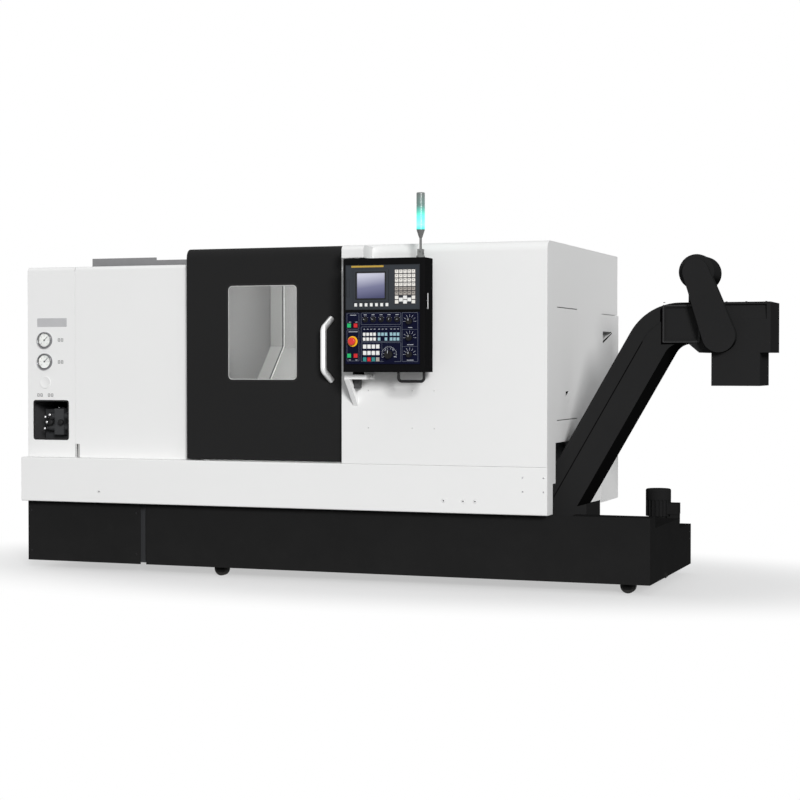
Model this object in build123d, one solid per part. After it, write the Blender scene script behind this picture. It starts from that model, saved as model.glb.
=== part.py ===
from build123d import *
import math
import os

# A slant-bed turning lathe in its enclosure, with a swinging control pendant, a coolant tank on
# castors and a hinged-belt chip conveyor.
# Machine frame: X from the left end of the skirt, Y from the front plane into the depth, Z from
# the floor. save() moves each piece so that the origin lies under the middle of the whole part.
# Every length is in millimetres.

# whole machine
machine_length = 3095.0
machine_depth = 1560.0
machine_height = 1808.0
left_drop = 82.0
sheet = 3.0
shut_gap = 3.0
contact_gap = 0.3
slide_gap = 0.1
running_gap = 0.05
quarter_turn = 90.0
over = 5.0

# skirt across the front, and the black base panel below its left part
skirt_bottom = 398.0
skirt_height = 248.0
skirt_bend = 6.0
skirt_lower_flange = 60.0
ledge_depth = 110.0
base_front = 73.0
base_bottom = 54.0
base_top = 395.0
base_length = 722.0
base_return = 520.0

# front covers
left_front = 76.0
left_bend = 20.0
end_cover_width = 306.0
door_front = 30.0
door_roll = 50.0
door_width = 927.0
door_lap = 65.0
door_pan = 40.0
door_foot_gap = 6.0
door_top_depth = 264.0
bar_port_radius = 45.0
notch_width = 21.0
notch_height = 76.0
notch_inset = 5.0
window_drop = 205.0
window_tall = 515.0
window_left = 250.0
window_width = 410.0
window_corner = 25.0
pane_lap = 22.0
pane_thick = 10.0
grip_inset = 90.0
grip_sweep = 23.0
grip_reach = 57.0
grip_drop = 390.0
grip_length = 331.0
grip_slope = 53.0
grip_radius = 17.0
grip_bend = 40.0

# roof over the door and the rail that carries the door
roof_step_front = 150.0
roof_step_back = 300.0
roof_lip = 36.0
roof_bend = 5.0
rail_left = 315.0
rail_front = 240.0
rail_width = 30.0
rail_base = 8.0
rail_height = 40.0
rail_web = 8.0
rail_raise = 15.0
rail_raise_length = 410.0
hanger_inset = 120.0
hanger_length = 90.0
hanger_thick = 5.0
roller_width = 10.0

# left end cover: two gauges, a blank plug and the valve window
gauge_x = 113.0
gauge_high = 1311.0
gauge_low = 1189.0
plug_z = 1070.0
gauge_rim = 46.0
gauge_face = 40.0
gauge_proud = 15.0
gauge_recess = 7.0
gauge_body = 34.0
needle_width = 3.0
needle_thick = 1.5
needle_length = 28.0
needle_turn = 45.0
hub_radius = 5.0
plug_radius = 33.0
plug_proud = 2.5
valve_left = 41.0
valve_width = 219.0
valve_low = 749.0
valve_height = 215.0

# right side: conveyor opening, access panel with a finger pull
side_strip = 166.0
side_strip_foot = 555.0
side_opening_top = 765.0
side_opening_back = 600.0
access_front = 192.0
access_width = 419.0
access_low = 879.0
access_height = 594.0
access_gap = 4.0
access_side_gap = 0.5
pull_from_edge = 178.0
pull_width = 70.0
pull_low = 96.0
pull_height = 55.0
pull_depth = 24.0
pull_wall = 3.0

# bed casting with its slanted ways, and the levelling feet
bed_left = 30.0
bed_end_gap = 215.0
bed_front = 640.0
bed_back = 1170.0
bed_bottom = 60.0
crest_margin = 8.2
platform_top = 700.0
platform_tank_x = 735.0
slant_start = 1000.0
slant_angle = 45.0
pocket_count = 4
pocket_depth = 230.0
pocket_low = 160.0
pocket_drop = 290.0
pocket_rib = 80.0
foot_radius = 45.0
foot_height = 20.0
stem_radius = 16.0
foot_inset = 65.0
foot_front = 560.0

# spindle line
spindle_y = 400.0
spindle_z = 960.0
axis_height = 431.0
headstock_left = 520.0
headstock_face = 1100.0
headstock_half = 205.0
headstock_crown = 230.0
headstock_round = 80.0
spindle_radius = 70.0
spindle_bore = 33.0
spindle_tail = 330.0
cylinder_radius = 95.0
cylinder_length = 150.0
nose_radius = 100.0
nose_gap = 4.0
nose_length = 26.0
wall_hole = 112.0
chuck_radius = 105.0
chuck_length = 85.0
chuck_chamfer = 4.0
chuck_bore = 27.0
jaw_count = 3
jaw_slot = 26.0
jaw_slot_depth = 28.0
jaw_play = 0.2
jaw_inner = 42.0
jaw_outer = 98.0
jaw_step = 72.0
jaw_top_width = 34.0
jaw_low_height = 25.0
jaw_high_height = 47.0

# ways, saddle, cross slide and turret, in slope coordinates: s up the slant, h square to it
way_low = 130.0
way_high = 540.0
way_width = 35.0
way_height = 40.0
way_inset = 10.0
shoe_side = 20.0
shoe_length = 100.0
shoe_lift = 14.0
saddle_park = 60.0
saddle_length = 420.0
saddle_low = 95.0
saddle_high = 650.0
saddle_under = 60.0
saddle_top = 200.0
saddle_lip = 30.0
servo_length = 90.0
servo_low = 130.0
servo_high = 195.0
servo_width = 130.0
cross_way_inset = 70.0
cross_way_width = 30.0
cross_way_height = 30.0
cross_side = 35.0
cross_length = 330.0
cross_top = 305.0
turret_reach = 195.0
turret_retract = 200.0
turret_flat = 150.0
turret_sides = 12
turret_length = 110.0
turret_clear = 15.0
turret_hub = 60.0
turret_hub_length = 55.0
housing_half = 115.0
housing_length = 320.0
housing_round = 40.0
tool_block_width = 56.0
tool_block_length = 76.0
tool_block_height = 34.0
tool_shank = 20.0
tool_count = 6

# covers of the ways
guard_height = 216.0
guard_start = 90.0
guard_wall_y = 1016.0
guard_drop = 20.0
guard_foot = 50.0
guard_nest = 8.0
guard_bend = 6.0
guard_split_share = 0.4995
guard_overlap = 6.0
guard_end_gap = 35.0
guard_strip = 90.0
right_wall_gap = 535.0
wall_foot = 400.0
wall_guard_gap = 6.0
chute_low = 340.0
chute_drop = 25.0
chute_front_in = 12.0

# coolant tank, castors and pump
tank_left = 757.0
tank_right_past = 518.0
tank_sheet = 4.0
tank_floor = 104.0
wing_left_past = 30.0
wing_back = 1159.0
wing_top = 279.0
deck_top = 335.0
deck_back = 840.0
rim_depth = 127.0
lid_left_past = 105.0
castor_left = 1181.0
castor_right_past = 386.0
castor_front = 170.0
castor_back_left = 560.0
castor_back_right = 1060.0
wheel_radius = 40.0
wheel_width = 32.0
fork_gap = 2.0
fork_sheet = 4.0
fork_half = 20.0
axle_radius = 6.0
pump_past = 360.0
pump_y = 1030.0
pump_flange = 85.0
pump_flange_thick = 12.0
pump_neck = 52.0
pump_neck_height = 38.0
pump_radius = 64.0
pump_fin = 6.0
pump_fin_count = 20
pump_fin_width = 5.0
pump_body_height = 92.0
pump_cap_height = 60.0
pump_cap_round = 10.0
terminal_reach = 116.0
terminal_half = 38.0
terminal_low = 62.0
terminal_height = 62.0

# chip conveyor, drawn in its side outline
conveyor_front = 262.0
conveyor_width = 303.0
conveyor_floor = 120.0
conveyor_deep = 209.0
conveyor_tail = 800.0
conveyor_foot_past = -90.0
conveyor_top = 1490.0
conveyor_end_past = 1089.0
incline_angle = 60.0
elbow_outer = 300.0
elbow_inner = 91.0
conveyor_sheet = 4.0
head_left_past = 728.0
head_slope_left_past = 671.0
head_bottom = 1233.0
inlet_inset = 60.0
head_cut_left_past = 801.0
head_cut_right_past = 1069.0
head_cut_low = 1403.0
head_cut_high = 1478.0
chute_left_past = 791.0
chute_right_past = 1036.0
chute_bottom = 1064.0
skid_height = 12.0
skid_width = 20.0
band_depth = 76.0
band_proud = 3.0
band_gap = 15.0
frame_left_past = 542.0
frame_right_past = 732.0
frame_low = 1285.0
frame_high = 1478.0
frame_bar = 14.0
frame_proud = 9.0
gusset_length = 106.0
gusset_height = 109.0
gusset_fall = 14.0
belt_low = 19.0
belt_radius = 45.0
belt_thick = 8.0
belt_inset = 18.0
belt_tail = 870.0
cleat_height = 25.0
cleat_width = 8.0
cleat_pitch = 300.0
drive_past = 837.0
drive_radius = 20.0
drive_out = 40.0
sprocket_radius = 40.0
sprocket_thick = 12.0
sprocket_inset = 45.0
sprocket_teeth = 8
tooth_depth = 7.0
tooth_shares = (0.0, 0.3, 0.5, 0.8)
chain_sprocket = 46.0
case_depth = 60.0
case_wall = 3.0
case_low_past = 837.0
case_low_z = 1318.0
case_low_radius = 84.0
case_high_past = 718.0
case_high_z = 1644.0
case_high_radius = 66.0
drum_radius = 90.0
drum_depth = 27.0
gear_radius = 88.0
gear_length = 208.0
gear_foot_half = 50.0
gear_foot_front = 28.0
gear_foot_length = 140.0
gear_foot_height = 95.0

# electrical cabinet at the back, its door and the drives inside
cabinet_length = 1195.0
cabinet_bottom = 383.0
cabinet_top = 1459.0
cabinet_back = 1589.0
cabinet_rim = 20.0
cabinet_door_width = 750.0
cabinet_door_pan = 20.0
cabinet_gap = 0.5
hinge_radius = 8.0
hinge_length = 70.0
handle_low = 880.0
handle_height = 120.0
handle_width = 26.0
handle_proud = 18.0
pocket_front = 30.0
pocket_width = 225.0
pocket_bottom = 1160.0
pocket_tall = 202.0
pocket_in = 60.0
rack_inset = 40.0
rack_thick = 5.0
rack_rows = 3
rack_columns = 5
module_depth = 180.0
module_gap = 24.0

# hydraulic unit behind the valve window
unit_left = 40.0
unit_width = 250.0
unit_front = 200.0
unit_depth = 280.0
unit_height = 215.0
valve_block = 60.0
valve_reach = 62.0
valve_foot = 70.0
valve_tall = 150.0
solenoid_radius = 22.0
solenoid_length = 150.0
solenoid_pitch = 66.0

# control pendant
pendant_gap = 88.0
pendant_width = 448.0
pendant_drop = 675.0
pendant_tall = 588.0
pendant_front = -200.0
pendant_thick = 134.0
pendant_sheet = 3.0
pendant_round = 6.0
pivot_in = 46.0
pivot_y = -95.0
pivot_radius = 15.0
pivot_cap = 30.0
pivot_cap_height = 8.0
arm_side = 36.0
arm_width = 123.0
arm_front = -130.0
arm_drop = 13.0
arm_gap = 1.0
arm_round = 25.0
arm_back = 60.0
lower_arm_side = 21.0
lower_arm_gap = 13.0
lower_arm_thick = 25.0
lower_arm_sink = 140.0
strut_width = 26.0
strut_foot = 40.0
clamp_radius = 11.0
clamp_length = 18.0
unit_x = 17.0
unit_long = 406.0
display_up = 322.0
display_tall = 231.0
panel_up = 42.0
panel_tall = 266.0
panel_proud = 6.0
panel_cut = 12.0
screen_x = 63.0
screen_low = 59.0
screen_wide = 155.0
screen_tall = 131.0
screen_depth = 3.0
bezel = 19.0
bezel_proud = 4.0
pad_x = 271.0
pad_low = 28.0
pad_wide = 114.0
pad_tall = 178.0
pad_proud = 1.5
pad_columns = 5
pad_rows = 8
key_gap = 5.0
key_proud = 2.5
soft_x = 49.5
soft_low = 25.6
soft_pitch = 28.7
soft_width = 15.0
soft_tall = 18.0
soft_count = 7
white_x = 97.0
white_z = 120.0
white_columns = 4
white_rows = 2
row_x = 97.0
row_z = 13.0
row_tall = 22.0
row_columns = 4
row_rows = 3
arrow_x = 179.0
blue_x = 245.0
blue_columns = 3
key_pitch_x = 19.0
key_pitch_z = 25.0
row_pitch_z = 33.0
key_wide = 14.0
key_tall = 17.0
button_x = 22.0
button_pitch = 36.0
button_high = 199.0
button_low = 43.0
button_size = 21.0
button_proud = 7.0
stop_x = 40.0
stop_z = 117.0
stop_ring = 27.0
stop_ring_thick = 3.0
stop_radius = 20.0
stop_stem = 12.0
stop_stem_length = 10.0
stop_cap = 16.0
stop_round = 6.0
stop_hole_depth = 8.0
selector_x = 109.0
selector_pitch = 43.8
selector_z = 229.0
selector_count = 5
selector_radius = 10.0
selector_proud = 11.0
knob_x = 353.0
knob_zs = (49.0, 135.0, 219.0)
knob_radius = 15.0
knob_proud = 18.0
knob_bar = 8.0
knob_bar_proud = 7.0
dial_x = 241.0
dial_z = 49.0
dial_radius = 21.0
dial_plate = 46.0
dial_plate_proud = 1.5
shaft_radius = 4.0
shaft_hole_depth = 6.0
loop_left = 300.0
loop_width = 139.0
loop_drop = 47.0
loop_y = -180.0
loop_radius = 7.5
loop_bend = 18.0

# signal lamp on the pendant
lamp_in = 404.0
lamp_y = -133.0
lamp_base_radius = 22.0
lamp_base_height = 12.0
lug_thick = 6.0
lug_half = 14.0
lug_height = 30.0
tongue_half = 7.5
knuckle_radius = 15.0
fold_height = 32.0
fold_pin = 5.0
lamp_pole_radius = 8.5
lamp_stem_radius = 6.5
lamp_pole_top = 104.0
lamp_cone_height = 42.0
lamp_lens_radius = 22.0
lamp_lens_low = 146.0
lamp_lens_high = 337.0
lamp_ring = 1.0
lamp_ring_height = 4.0
lamp_crown = 5.0
lamp_split_share = 0.66

# derived places
# what stands past the right end keeps its distance from that end
tank_right = machine_length + tank_right_past
wing_left = machine_length + wing_left_past
lid_left = machine_length + lid_left_past
castor_right = machine_length + castor_right_past
pump_x = machine_length + pump_past
conveyor_foot_x = machine_length + conveyor_foot_past
conveyor_end = machine_length + conveyor_end_past
head_left = machine_length + head_left_past
head_slope_left = machine_length + head_slope_left_past
head_cut_left = machine_length + head_cut_left_past
head_cut_right = machine_length + head_cut_right_past
chute_left = machine_length + chute_left_past
chute_right = machine_length + chute_right_past
frame_left = machine_length + frame_left_past
frame_right = machine_length + frame_right_past
drive_x = machine_length + drive_past
case_low_x = machine_length + case_low_past
case_high_x = machine_length + case_high_past
skirt_top = skirt_bottom + skirt_height
wall_x = headstock_face
wall_face = wall_x + sheet
door_left = wall_x - door_lap
door_right = door_left + door_width
post_x = door_right + shut_gap
top_inside = machine_height - sheet
left_height = machine_height - left_drop
window_high = machine_height - window_drop
window_low = window_high - window_tall
grip_high = machine_height - grip_drop
grip_low = grip_high - grip_length
guard_top = machine_height - guard_drop
arm_top = machine_height - arm_drop
left_inside = left_height - sheet
rear_inside = machine_depth - sheet
side_inside = machine_length - sheet
tank_back = bed_front - contact_gap
slant = math.radians(slant_angle)
foot_y = spindle_y + axis_height * math.sin(slant)
foot_z = spindle_z - axis_height * math.cos(slant)
incline = math.radians(incline_angle)
half_tan = math.tan(incline / 2)
upper_floor = conveyor_top - conveyor_deep
elbow_x = conveyor_foot_x + (upper_floor - conveyor_floor) / math.tan(incline)
conveyor_back = conveyor_front + conveyor_width
drive_z = upper_floor + belt_low + belt_radius
turret_rest = turret_reach + turret_retract
bed_right = machine_length - bed_end_gap
bed_crest = foot_z + (way_high + way_width) * math.sin(slant) + crest_margin
pocket_high = bed_crest - pocket_drop
right_wall_x = machine_length - right_wall_gap
guard_right_end = machine_length - guard_end_gap
saddle_right = right_wall_x - saddle_park
saddle_left = saddle_right - saddle_length
turret_back = saddle_left - turret_clear
guard_fixed_length = (saddle_left - wall_face) * guard_split_share
guard_moving_length = saddle_left + saddle_lip - wall_face - guard_fixed_length + guard_overlap
cabinet_left = machine_length - cabinet_length
pendant_left = post_x + pendant_gap
pendant_low = machine_height - pendant_drop
pivot_x = pendant_left + pivot_in
arm_left = pendant_left - arm_side
arm_right = arm_left + arm_width
lower_arm_left = pendant_left - lower_arm_side
lower_arm_right = lower_arm_left + arm_width
display_low = pendant_low + display_up
panel_low = pendant_low + panel_up
lamp_x = pendant_left + lamp_in
pendant_right = pendant_left + pendant_width
pendant_high = pendant_low + pendant_tall
pendant_back = pendant_front + pendant_thick
unit_left_x = pendant_left + unit_x
panel_face = pendant_front - panel_proud
fold_z = pendant_high + fold_height
stop_front = panel_face - stop_stem_length - stop_cap
dial_front = panel_face - dial_plate_proud - contact_gap - knob_proud - knob_bar_proud
front_extent = min(stop_front, dial_front)
back_extent = cabinet_back + cabinet_gap + cabinet_door_pan + handle_proud
middle_x = conveyor_end / 2
middle_y = (front_extent + back_extent) / 2


def block(x0, x1, y0, y1, z0, z1):
    box = Box(x1 - x0, y1 - y0, z1 - z0)
    return Pos((x0 + x1) / 2, (y0 + y1) / 2, (z0 + z1) / 2) * box


def rod_x(x0, x1, y, z, radius):
    return Pos((x0 + x1) / 2, y, z) * Rot(0, quarter_turn, 0) * Cylinder(radius, x1 - x0)


def rod_y(y0, y1, x, z, radius):
    return Pos(x, (y0 + y1) / 2, z) * Rot(quarter_turn, 0, 0) * Cylinder(radius, y1 - y0)


def rod_z(z0, z1, x, y, radius):
    return Pos(x, y, (z0 + z1) / 2) * Cylinder(radius, z1 - z0)


def flat(points):
    return make_face(Polyline(*points, close=True))


def along_x(face, x0, x1):
    return extrude(Plane.YZ.offset(x0) * face, amount=x1 - x0)


def along_y(face, y0, y1):
    return extrude(Plane.XZ.offset(-y0) * face, amount=y0 - y1)


def slope(s, h):
    y = foot_y + s * math.cos(slant) - h * math.sin(slant)
    z = foot_z + s * math.sin(slant) + h * math.cos(slant)
    return (y, z)


def slope_bar(s0, s1, h0, h1, x0, x1):
    corners = [slope(s0, h0), slope(s1, h0), slope(s1, h1), slope(s0, h1)]
    return along_x(flat(corners), x0, x1)


def beside(points, distance):
    # the same line moved to its left by the distance
    normals = []
    for a, b in zip(points, points[1:]):
        length = math.hypot(b[0] - a[0], b[1] - a[1])
        normals.append(((a[1] - b[1]) / length, (b[0] - a[0]) / length))
    moved = []
    for i, p in enumerate(points):
        n1 = normals[max(i - 1, 0)]
        n2 = normals[min(i, len(normals) - 1)]
        share = distance / (1 + n1[0] * n2[0] + n1[1] * n2[1])
        moved.append((p[0] + share * (n1[0] + n2[0]), p[1] + share * (n1[1] + n2[1])))
    return moved


def bent_sheet(points, radii, thickness):
    # a folded sheet: the given line is one face, and the thickness lies to its left
    other = beside(points, thickness)
    near, far = [], []
    for a, b, c, radius in zip(points, points[1:], points[2:], radii):
        turn = (b[0] - a[0]) * (c[1] - b[1]) - (b[1] - a[1]) * (c[0] - b[0])
        near.append(radius if turn > 0 else radius - thickness)
        far.append(radius - thickness if turn > 0 else radius)
    first = FilletPolyline(*points, radius=near)
    second = FilletPolyline(*other, radius=far)
    ends = [Line(first @ 1, second @ 1), Line(second @ 0, first @ 0)]
    return make_face(Curve() + [first, second] + ends)


def edge_near(shape, axis, point):
    return min(shape.edges().filter_by(axis), key=lambda e: (e.center() - Vector(*point)).length)


def rounded(shape, axis, points, radius):
    return fillet([edge_near(shape, axis, p) for p in points], radius)


def tube(points, radius, bend):
    path = FilletPolyline(*points, radius=bend)
    return sweep(Plane(path @ 0, z_dir=path % 0) * Circle(radius), path=path)


def save(name, shape):
    export_step(Pos(-middle_x, -middle_y, 0) * shape, "parts/" + name + ".step")


# sheet-metal enclosure

def skirt():
    line = [(skirt_lower_flange, skirt_bottom), (0, skirt_bottom), (0, skirt_top), (ledge_depth, skirt_top)]
    line.reverse()
    body = along_x(bent_sheet(line, [skirt_bend] * 2, sheet), 0, machine_length)
    for x0 in (0, side_inside):
        body += block(x0, x0 + sheet, skirt_bend, ledge_depth, skirt_bottom, skirt_top)
    return body


def base_cover():
    line = [(ledge_depth, base_top), (base_front, base_top), (base_front, base_bottom)]
    body = along_x(bent_sheet(line, [skirt_bend], sheet), 0, base_length)
    body += block(0, sheet, base_front + skirt_bend, base_return, base_bottom, base_top)
    return body


def left_end_cover():
    outer = block(0, end_cover_width, left_front, rear_inside, skirt_top, left_height)
    outer = rounded(outer, Axis.X, [(end_cover_width / 2, left_front, left_height)], left_bend)
    inner_y = left_front + sheet
    inner = block(sheet, end_cover_width + over, inner_y, rear_inside + over, skirt_top - over, left_inside)
    inner = rounded(inner, Axis.X, [(end_cover_width / 2, inner_y, left_inside)], left_bend - sheet)
    body = outer - inner
    for z in (gauge_high, gauge_low):
        body -= rod_y(left_front - over, left_front + left_bend, gauge_x, z, gauge_face)
    body += rod_y(left_front - plug_proud, left_front, gauge_x, plug_z, plug_radius)
    window = block(valve_left, valve_left + valve_width, 0, left_front + left_bend,
                   valve_low, valve_low + valve_height)
    return body - window - rod_x(-over, left_bend, spindle_y, spindle_z, bar_port_radius)


def headstock_cover():
    left = end_cover_width + shut_gap
    line = [(rear_inside, left_height), (left_front, left_height), (left_front, skirt_top)]
    body = along_x(bent_sheet(line, [left_bend], sheet), left, wall_face)
    notch = block(left + notch_inset, left + notch_inset + notch_width, 0, left_front + left_bend,
                  skirt_top - over, skirt_top + notch_height)
    return body - notch


def right_inner_face():
    top = [(left_front, skirt_top), (sheet, skirt_top), (sheet, top_inside), (left_front, top_inside)]
    return make_face(Curve() + [FilletPolyline(*top, radius=[sheet, door_roll - sheet]), Line(top[3], top[0])])


def right_cover():
    line = [(rear_inside, machine_height), (0, machine_height), (0, skirt_top)]
    body = along_x(bent_sheet(line, [door_roll], sheet), post_x, machine_length)
    return body + along_x(right_inner_face(), post_x, post_x + sheet)


def roof_cover():
    line = [(rear_inside, machine_height), (roof_step_back, machine_height),
            (roof_step_back, left_height), (roof_step_front, left_height),
            (roof_step_front, left_height - roof_lip)]
    body = along_x(bent_sheet(line, [roof_bend] * 3, sheet), wall_face, post_x)
    end = block(wall_face, wall_face + sheet, roof_step_back + sheet, rear_inside, left_inside, top_inside)
    return body + end


def rear_cover():
    edge = cabinet_left - shut_gap
    low = cabinet_top + shut_gap
    outline = [(0, skirt_top), (edge, skirt_top), (edge, low), (machine_length, low),
               (machine_length, machine_height), (wall_face, machine_height),
               (wall_face, left_height), (0, left_height)]
    return along_y(flat(outline), rear_inside, machine_depth)


def right_side_panel():
    low = cabinet_top + shut_gap
    corner = door_roll - sheet
    outline = [(rear_inside, low), (rear_inside, top_inside), (sheet, top_inside), (sheet, skirt_top),
               (ledge_depth, skirt_top), (ledge_depth, side_strip_foot), (side_strip, side_strip_foot),
               (side_strip, side_opening_top), (side_opening_back, side_opening_top),
               (side_opening_back, skirt_top), (bed_back, skirt_top), (bed_back, low)]
    body = along_x(flat(outline), side_inside, machine_length)
    body = rounded(body, Axis.X, [(machine_length, sheet, top_inside)], corner)
    return body - block(side_inside - over, machine_length + over, access_front, access_front + access_width,
                        access_low, access_low + access_height)


def side_access_panel():
    y0 = access_front + access_side_gap
    y1 = access_front + access_width - access_side_gap
    body = block(side_inside, machine_length, y0, y1, access_low + access_gap,
                 access_low + access_height - access_gap)
    cup_y = access_front + pull_from_edge
    cup_z = access_low + pull_low
    body += block(side_inside - pull_depth, side_inside, cup_y - pull_wall, cup_y + pull_width + pull_wall,
                  cup_z - pull_wall, cup_z + pull_height + pull_wall)
    return body - block(side_inside - pull_depth + pull_wall, machine_length + over, cup_y,
                        cup_y + pull_width, cup_z, cup_z + pull_height)


# sliding door

def door_panel():
    top = machine_height
    foot = skirt_top + door_foot_gap
    line = [(door_front + door_top_depth, top), (door_front, top), (door_front, foot),
            (door_front + door_pan, foot)]
    body = along_x(bent_sheet(line, [door_roll, skirt_bend], sheet), door_left, door_right)
    side = [(door_front + sheet, foot + sheet), (door_front + door_pan, foot + sheet),
            (door_front + door_pan, top - door_roll), (door_front + sheet, top - door_roll)]
    for x0 in (door_left, door_right - sheet):
        body += along_x(flat(side), x0, x0 + sheet)
    x0 = door_left + window_left
    hole = block(x0, x0 + window_width, 0, door_front + door_pan / 2, window_low, window_high)
    hole = fillet(hole.edges().filter_by(Axis.Y), window_corner)
    body -= hole
    for x0 in (door_left + hanger_inset, door_right - hanger_inset - hanger_length):
        body += hanger(x0)
    return body


def hanger(x0):
    # a bracket under the door's top return, with the roller that runs on the rail
    middle = rail_front + (rail_width - rail_web) / 2
    radius = (rail_height - rail_base) / 2
    z = left_height + rail_base + slide_gap + radius
    back = middle - roller_width / 2
    plate = block(x0, x0 + hanger_length, back - hanger_thick, back, z, machine_height - sheet)
    return plate + rod_y(back, back + roller_width, x0 + hanger_length / 2, z, radius)


def door_window():
    x0 = door_left + window_left
    y0 = door_front + sheet
    return block(x0 - pane_lap, x0 + window_width + pane_lap, y0, y0 + pane_thick,
                 window_low - pane_lap, window_high + pane_lap)


def door_handle():
    x = door_right - grip_inset + grip_sweep
    ends = [(x, door_front, grip_high), (x - grip_sweep, door_front - grip_reach, grip_high - grip_slope),
            (x - grip_sweep, door_front - grip_reach, grip_low + grip_slope), (x, door_front, grip_low)]
    body = tube(ends, grip_radius, grip_bend)
    return body - block(door_left, door_right, door_front, door_front + door_pan, grip_low / 2, machine_height)


def door_rail():
    back = rail_front + rail_width
    body = block(rail_left, post_x, rail_front, back, left_height, left_height + rail_base)
    body += block(rail_left, post_x, back - rail_web, back, left_height, left_height + rail_height)
    return body + block(rail_left, rail_left + rail_raise_length, back - rail_web, back,
                        left_height, left_height + rail_height + rail_raise)


# bed and work chamber

def bed():
    body = block(bed_left, headstock_face, ledge_depth, bed_back, bed_bottom, platform_top)
    body -= block(platform_tank_x, headstock_face + over, 0, bed_front, bed_bottom - over, skirt_bottom)
    front_z = foot_z + (bed_front - foot_y) * math.tan(slant)
    crest_y = foot_y + (bed_crest - foot_z) / math.tan(slant)
    section = [(bed_front, bed_bottom), (bed_front, front_z), (crest_y, bed_crest), (bed_back, bed_crest),
               (bed_back, bed_bottom)]
    body += along_x(flat(section), slant_start, bed_right)
    for s in (way_low, way_high):
        body += slope_bar(s, s + way_width, 0, way_height, wall_face + way_inset, bed_right - way_inset)
    pitch = (bed_right - slant_start) / pocket_count
    for i in range(pocket_count):
        x0 = slant_start + i * pitch + pocket_rib / 2
        body -= block(x0, x0 + pitch - pocket_rib, bed_back - pocket_depth, bed_back + over,
                      pocket_low, pocket_high)
    return body


def bed_feet():
    front = foot_front
    back = bed_back - foot_inset
    left = bed_left + foot_inset
    right = bed_right - foot_inset
    spots = [(left, front), (platform_tank_x - foot_inset, front), (left, back),
             ((left + right) / 2, back), (right, back), (right, bed_front + foot_inset)]
    feet = []
    for x, y in spots:
        feet.append(rod_z(0, foot_height, x, y, foot_radius) + rod_z(foot_height, bed_bottom, x, y, stem_radius))
    return Compound(feet)


def headstock():
    body = block(headstock_left, headstock_face, spindle_y - headstock_half, spindle_y + headstock_half,
                 platform_top, spindle_z + headstock_crown)
    middle = (headstock_left + headstock_face) / 2
    tops = [(middle, spindle_y - headstock_half, spindle_z + headstock_crown),
            (middle, spindle_y + headstock_half, spindle_z + headstock_crown)]
    body = rounded(body, Axis.X, tops, headstock_round)
    return body - rod_x(headstock_left - over, headstock_face + over, spindle_y, spindle_z,
                        spindle_radius + running_gap)


def spindle():
    nose = headstock_face + nose_gap
    body = rod_x(spindle_tail, nose, spindle_y, spindle_z, spindle_radius)
    body += rod_x(spindle_tail, spindle_tail + cylinder_length, spindle_y, spindle_z, cylinder_radius)
    body += rod_x(nose, nose + nose_length, spindle_y, spindle_z, nose_radius)
    return body - rod_x(spindle_tail - over, nose + nose_length + over, spindle_y, spindle_z, spindle_bore)


chuck_back = headstock_face + nose_gap + nose_length
chuck_face = chuck_back + chuck_length


def around_spindle(shape, index, count):
    turn = Pos(0, spindle_y, spindle_z) * Rot(index * quarter_turn * 4 / count, 0, 0)
    return turn * Pos(0, -spindle_y, -spindle_z) * shape


def chuck():
    body = rod_x(chuck_back, chuck_face, spindle_y, spindle_z, chuck_radius)
    body = chamfer(body.edges().sort_by(Axis.X)[-1], chuck_chamfer)
    body -= rod_x(chuck_back - over, chuck_face + over, spindle_y, spindle_z, chuck_bore)
    slot = block(chuck_face - jaw_slot_depth, chuck_face + over, spindle_y - jaw_slot / 2,
                 spindle_y + jaw_slot / 2, spindle_z + chuck_bore / 2, spindle_z + chuck_radius + over)
    for i in range(jaw_count):
        body -= around_spindle(slot, i, jaw_count)
    return body


def jaw(index):
    half = jaw_slot / 2 - jaw_play
    body = block(chuck_face - jaw_slot_depth + jaw_play, chuck_face + jaw_play, spindle_y - half,
                 spindle_y + half, spindle_z + jaw_inner, spindle_z + jaw_outer)
    half = jaw_top_width / 2
    low = chuck_face + jaw_play
    body += block(low, low + jaw_low_height, spindle_y - half, spindle_y + half,
                  spindle_z + jaw_inner, spindle_z + jaw_outer)
    body += block(low, low + jaw_high_height, spindle_y - half, spindle_y + half,
                  spindle_z + jaw_inner, spindle_z + jaw_step)
    return around_spindle(body, index, jaw_count)


def guard_line(nest):
    # section of a way cover: front flange, slope, then the upright wall
    h = guard_height + nest
    s = guard_start - nest
    wall = guard_wall_y - nest
    bend_s = (wall - foot_y + h * math.sin(slant)) / math.cos(slant)
    return [slope(s, guard_foot), slope(s, h), slope(bend_s, h), (wall, guard_top)]


def guard(nest, x0, x1):
    return along_x(bent_sheet(guard_line(nest), [guard_bend] * 2, sheet), x0, x1)


def chamber_outline(line, back, top):
    # a cross wall of the chamber: in front of the given line, over the bed's front and the conveyor
    front_z = foot_z + (bed_front - foot_y) * math.tan(slant)
    return [(left_front + sheet, wall_foot), (left_front + sheet, top), (back, top)] + line + [
        (bed_front - contact_gap, front_z), (bed_front - contact_gap, wall_foot)]


def chamber_left_wall():
    back = guard_wall_y + sheet
    line = [(back, foot_z + (back - foot_y) * math.tan(slant) + contact_gap),
            (bed_front, foot_z + (bed_front - foot_y) * math.tan(slant) + contact_gap)]
    body = along_x(flat(chamber_outline(line, back, left_inside)), wall_x, wall_face)
    body = rounded(body, Axis.X, [(wall_x, left_front + sheet, left_inside)], left_bend)
    body -= block(wall_x - over, wall_face + over, 0, ledge_depth, 0, skirt_top)
    body -= rod_x(wall_x - over, wall_face + over, spindle_y, spindle_z, wall_hole)
    end = wall_face + guard_fixed_length
    plates = guard(2 * guard_nest, wall_x, wall_face + guard_strip) + guard(0, wall_x, end)
    return body + (plates & block(wall_x, end, 0, machine_depth, 0, left_inside))


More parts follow.
